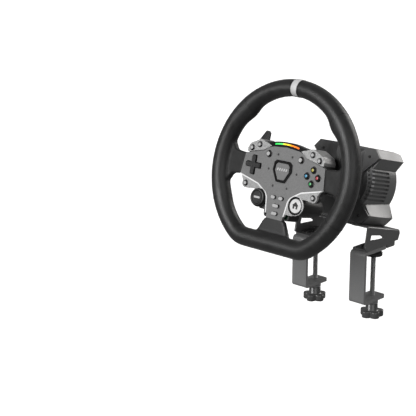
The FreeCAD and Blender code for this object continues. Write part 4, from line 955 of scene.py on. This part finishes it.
def make_hand_screw(side):
    """Threaded rod, neck and five-lobed knob, in the row frame."""
    node = "clamp_screw_" + side
    low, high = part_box(node)
    low, high = np.array(low) / MM, np.array(high) / MM
    pad_low, pad_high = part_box("clamp_pad_" + side)
    x, y = (np.array(pad_low) + np.array(pad_high))[:2] / 2 / MM
    bottom, top = low[2], high[2]
    frame_low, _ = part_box("clamp_frame_" + side)
    neck_top = frame_low[2] / MM - 0.3
    star_top = bottom + KNOB_TALL
    rows = int((top - star_top) / PITCH * THREAD_ROWS)
    points = []
    for i in range(rows + 1):
        z = star_top + (top - star_top) * i / rows

        def thread(k):
            phase = (z / PITCH - k / THREAD_STEPS) % 1.0
            r = ROOT + (CREST - ROOT) * min(1.0, 1.6 * (1 - abs(2 * phase - 1)))
            return min(r, ROOT + 0.1) if i in (0, rows) else r
        points += upright_ring(x, y, z, THREAD_STEPS, thread)
    faces = grid_faces(rows + 1, THREAD_STEPS) + caps(rows + 1, THREAD_STEPS)
    rod = piece("threaded_rod_" + side, points, faces, THREAD_STEEL, node, Matrix(), 50,
                "screw_black")
    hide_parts(node)
    turn = math.radians(KNOB_TURN if side == "right" else 180 - KNOB_TURN)
    levels = [(bottom, -1.0), (bottom + 0.35, -0.35), (bottom + 1.2, 0.0),
              (star_top - 1.2, 0.0), (star_top - 0.35, -0.35), (star_top, -1.0)]
    points = []
    for z, inset in levels:
        def lobes(k):
            lobe = 0.5 + 0.5 * math.cos(5 * (2 * math.pi * k / KNOB_STEPS - turn))
            return KNOB_VALLEY + KNOB_LOBE * lobe ** 0.55 + inset
        points += upright_ring(x, y, z, KNOB_STEPS, lobes)
    star = (points, grid_faces(len(levels), KNOB_STEPS) + caps(len(levels), KNOB_STEPS))
    profile = [(11.6, star_top - 0.2), (10.4, star_top + 0.5), (9.7, star_top + 1.6),
               (9.5, neck_top - 0.8), (9.0, neck_top - 0.2), (8.2, neck_top), (4.1, neck_top)]
    points = [point for r, z in profile for point in upright_ring(x, y, z, NECK_STEPS, lambda k: r)]
    neck = (points, grid_faces(len(profile), NECK_STEPS))
    piece("hand_knob_" + side, *merged([star, neck]), HAND_KNOB, node, Matrix(), 40,
          "screw_black")


# ---- camera, light and floor ---------------------------------------------------------------------

CAMERA_AZIMUTH = math.radians(43.83)
CAMERA_ELEVATION = math.radians(15.72)
CAMERA_DISTANCE = 1.9524
AIM_RIGHT = -0.1133               # the wheel stands right of and above the picture's middle
AIM_UP = -0.0546
LENS, SENSOR, NEAREST = 112.5, 36.0, 0.05
WORLD_GLOW, FLOOR_GLOW = 0.17, 0.6
FLOOR_REACH = 30.0
FLOOR_DROP = 0.055                # the hand screws drop 50 mm when the clamps open


def make_camera():
    """Camera at the photo's angle."""
    flat = math.cos(CAMERA_ELEVATION)
    look = Vector((-math.sin(CAMERA_AZIMUTH) * flat, math.cos(CAMERA_AZIMUTH) * flat,
                   -math.sin(CAMERA_ELEVATION)))
    right = Vector((math.cos(CAMERA_AZIMUTH), math.sin(CAMERA_AZIMUTH), 0))
    up = right.cross(look)
    data = bpy.data.cameras.new("camera")
    data.lens = LENS
    data.sensor_width = SENSOR
    data.clip_start = NEAREST
    camera = bpy.data.objects.new("camera", data)
    bpy.context.scene.collection.objects.link(camera)
    spot = CENTRE - look * CAMERA_DISTANCE + right * AIM_RIGHT + up * AIM_UP
    camera.matrix_world = Matrix(((right.x, up.x, -look.x, spot.x),
                                  (right.y, up.y, -look.y, spot.y),
                                  (right.z, up.z, -look.z, spot.z), (0, 0, 0, 1)))
    bpy.context.scene.camera = camera


def broad_light(name, towards, spread, strength, colour=(1, 1, 1)):
    """Very large, far softbox: a sun lamp as wide as the given spread in degrees."""
    data = bpy.data.lights.new(name, "SUN")
    data.angle = math.radians(spread)
    data.energy = strength
    data.color = colour
    lamp = bpy.data.objects.new(name, data)
    bpy.context.scene.collection.objects.link(lamp)
    lamp.rotation_euler = (-Vector(towards)).to_track_quat("-Z", "Y").to_euler()


def make_light():
    """Even white surroundings and three soft lights."""
    world = bpy.data.worlds.new("studio")
    world.use_nodes = True
    background = world.node_tree.nodes["Background"]
    background.inputs["Color"].default_value = (1, 1, 1, 1)
    background.inputs["Strength"].default_value = WORLD_GLOW
    bpy.context.scene.world = world
    bpy.context.scene.view_settings.view_transform = "Standard"
    broad_light("key", (-0.24, -0.89, 0.38), 36, 2.2)
    broad_light("side", (0.80, -0.45, 0.40), 50, 0.7)
    broad_light("rear", (0.21, 0.88, 0.42), 36, 1.2, (1.0, 0.98, 0.96))


def make_floor():
    """Plain pale floor, below the lowest place of the hand screws."""
    low, _ = CAD_BOX
    shader = Shader("floor_pale", roughness=0.9)
    shade = shader.noise(3.0, 2.0)
    shader.colour(shader.ramp(shade, zip(MOST, (0.93, 0.95))))
    shader.bsdf.inputs["Emission Color"].default_value = (1, 1, 1, 1)
    shader.bsdf.inputs["Emission Strength"].default_value = FLOOR_GLOW
    mesh = bpy.data.meshes.new("floor")
    reach, z = FLOOR_REACH, low.z - FLOOR_DROP
    mesh.from_pydata([(-reach, -reach, z), (reach, -reach, z), (reach, reach, z),
                      (-reach, reach, z)], [], [(0, 1, 2, 3)])
    mesh.materials.append(shader.material)
    floor = bpy.data.objects.new("floor", mesh)
    bpy.context.scene.collection.objects.link(floor)
    floor.visible_diffuse = False
    floor.visible_glossy = False


make_camera()
make_light()
make_floor()
dress_cad()
make_rim()
make_rim_details()
make_button_shade_rims()
make_bar_shade_shoulders()
make_face_screw_shade()
make_action_marks()
make_home_dial()
make_encoder()
make_badge_panel()
make_pad_arrows()
make_base_screws()
for hand in ("left", "right"):
    make_hand_screw(hand)
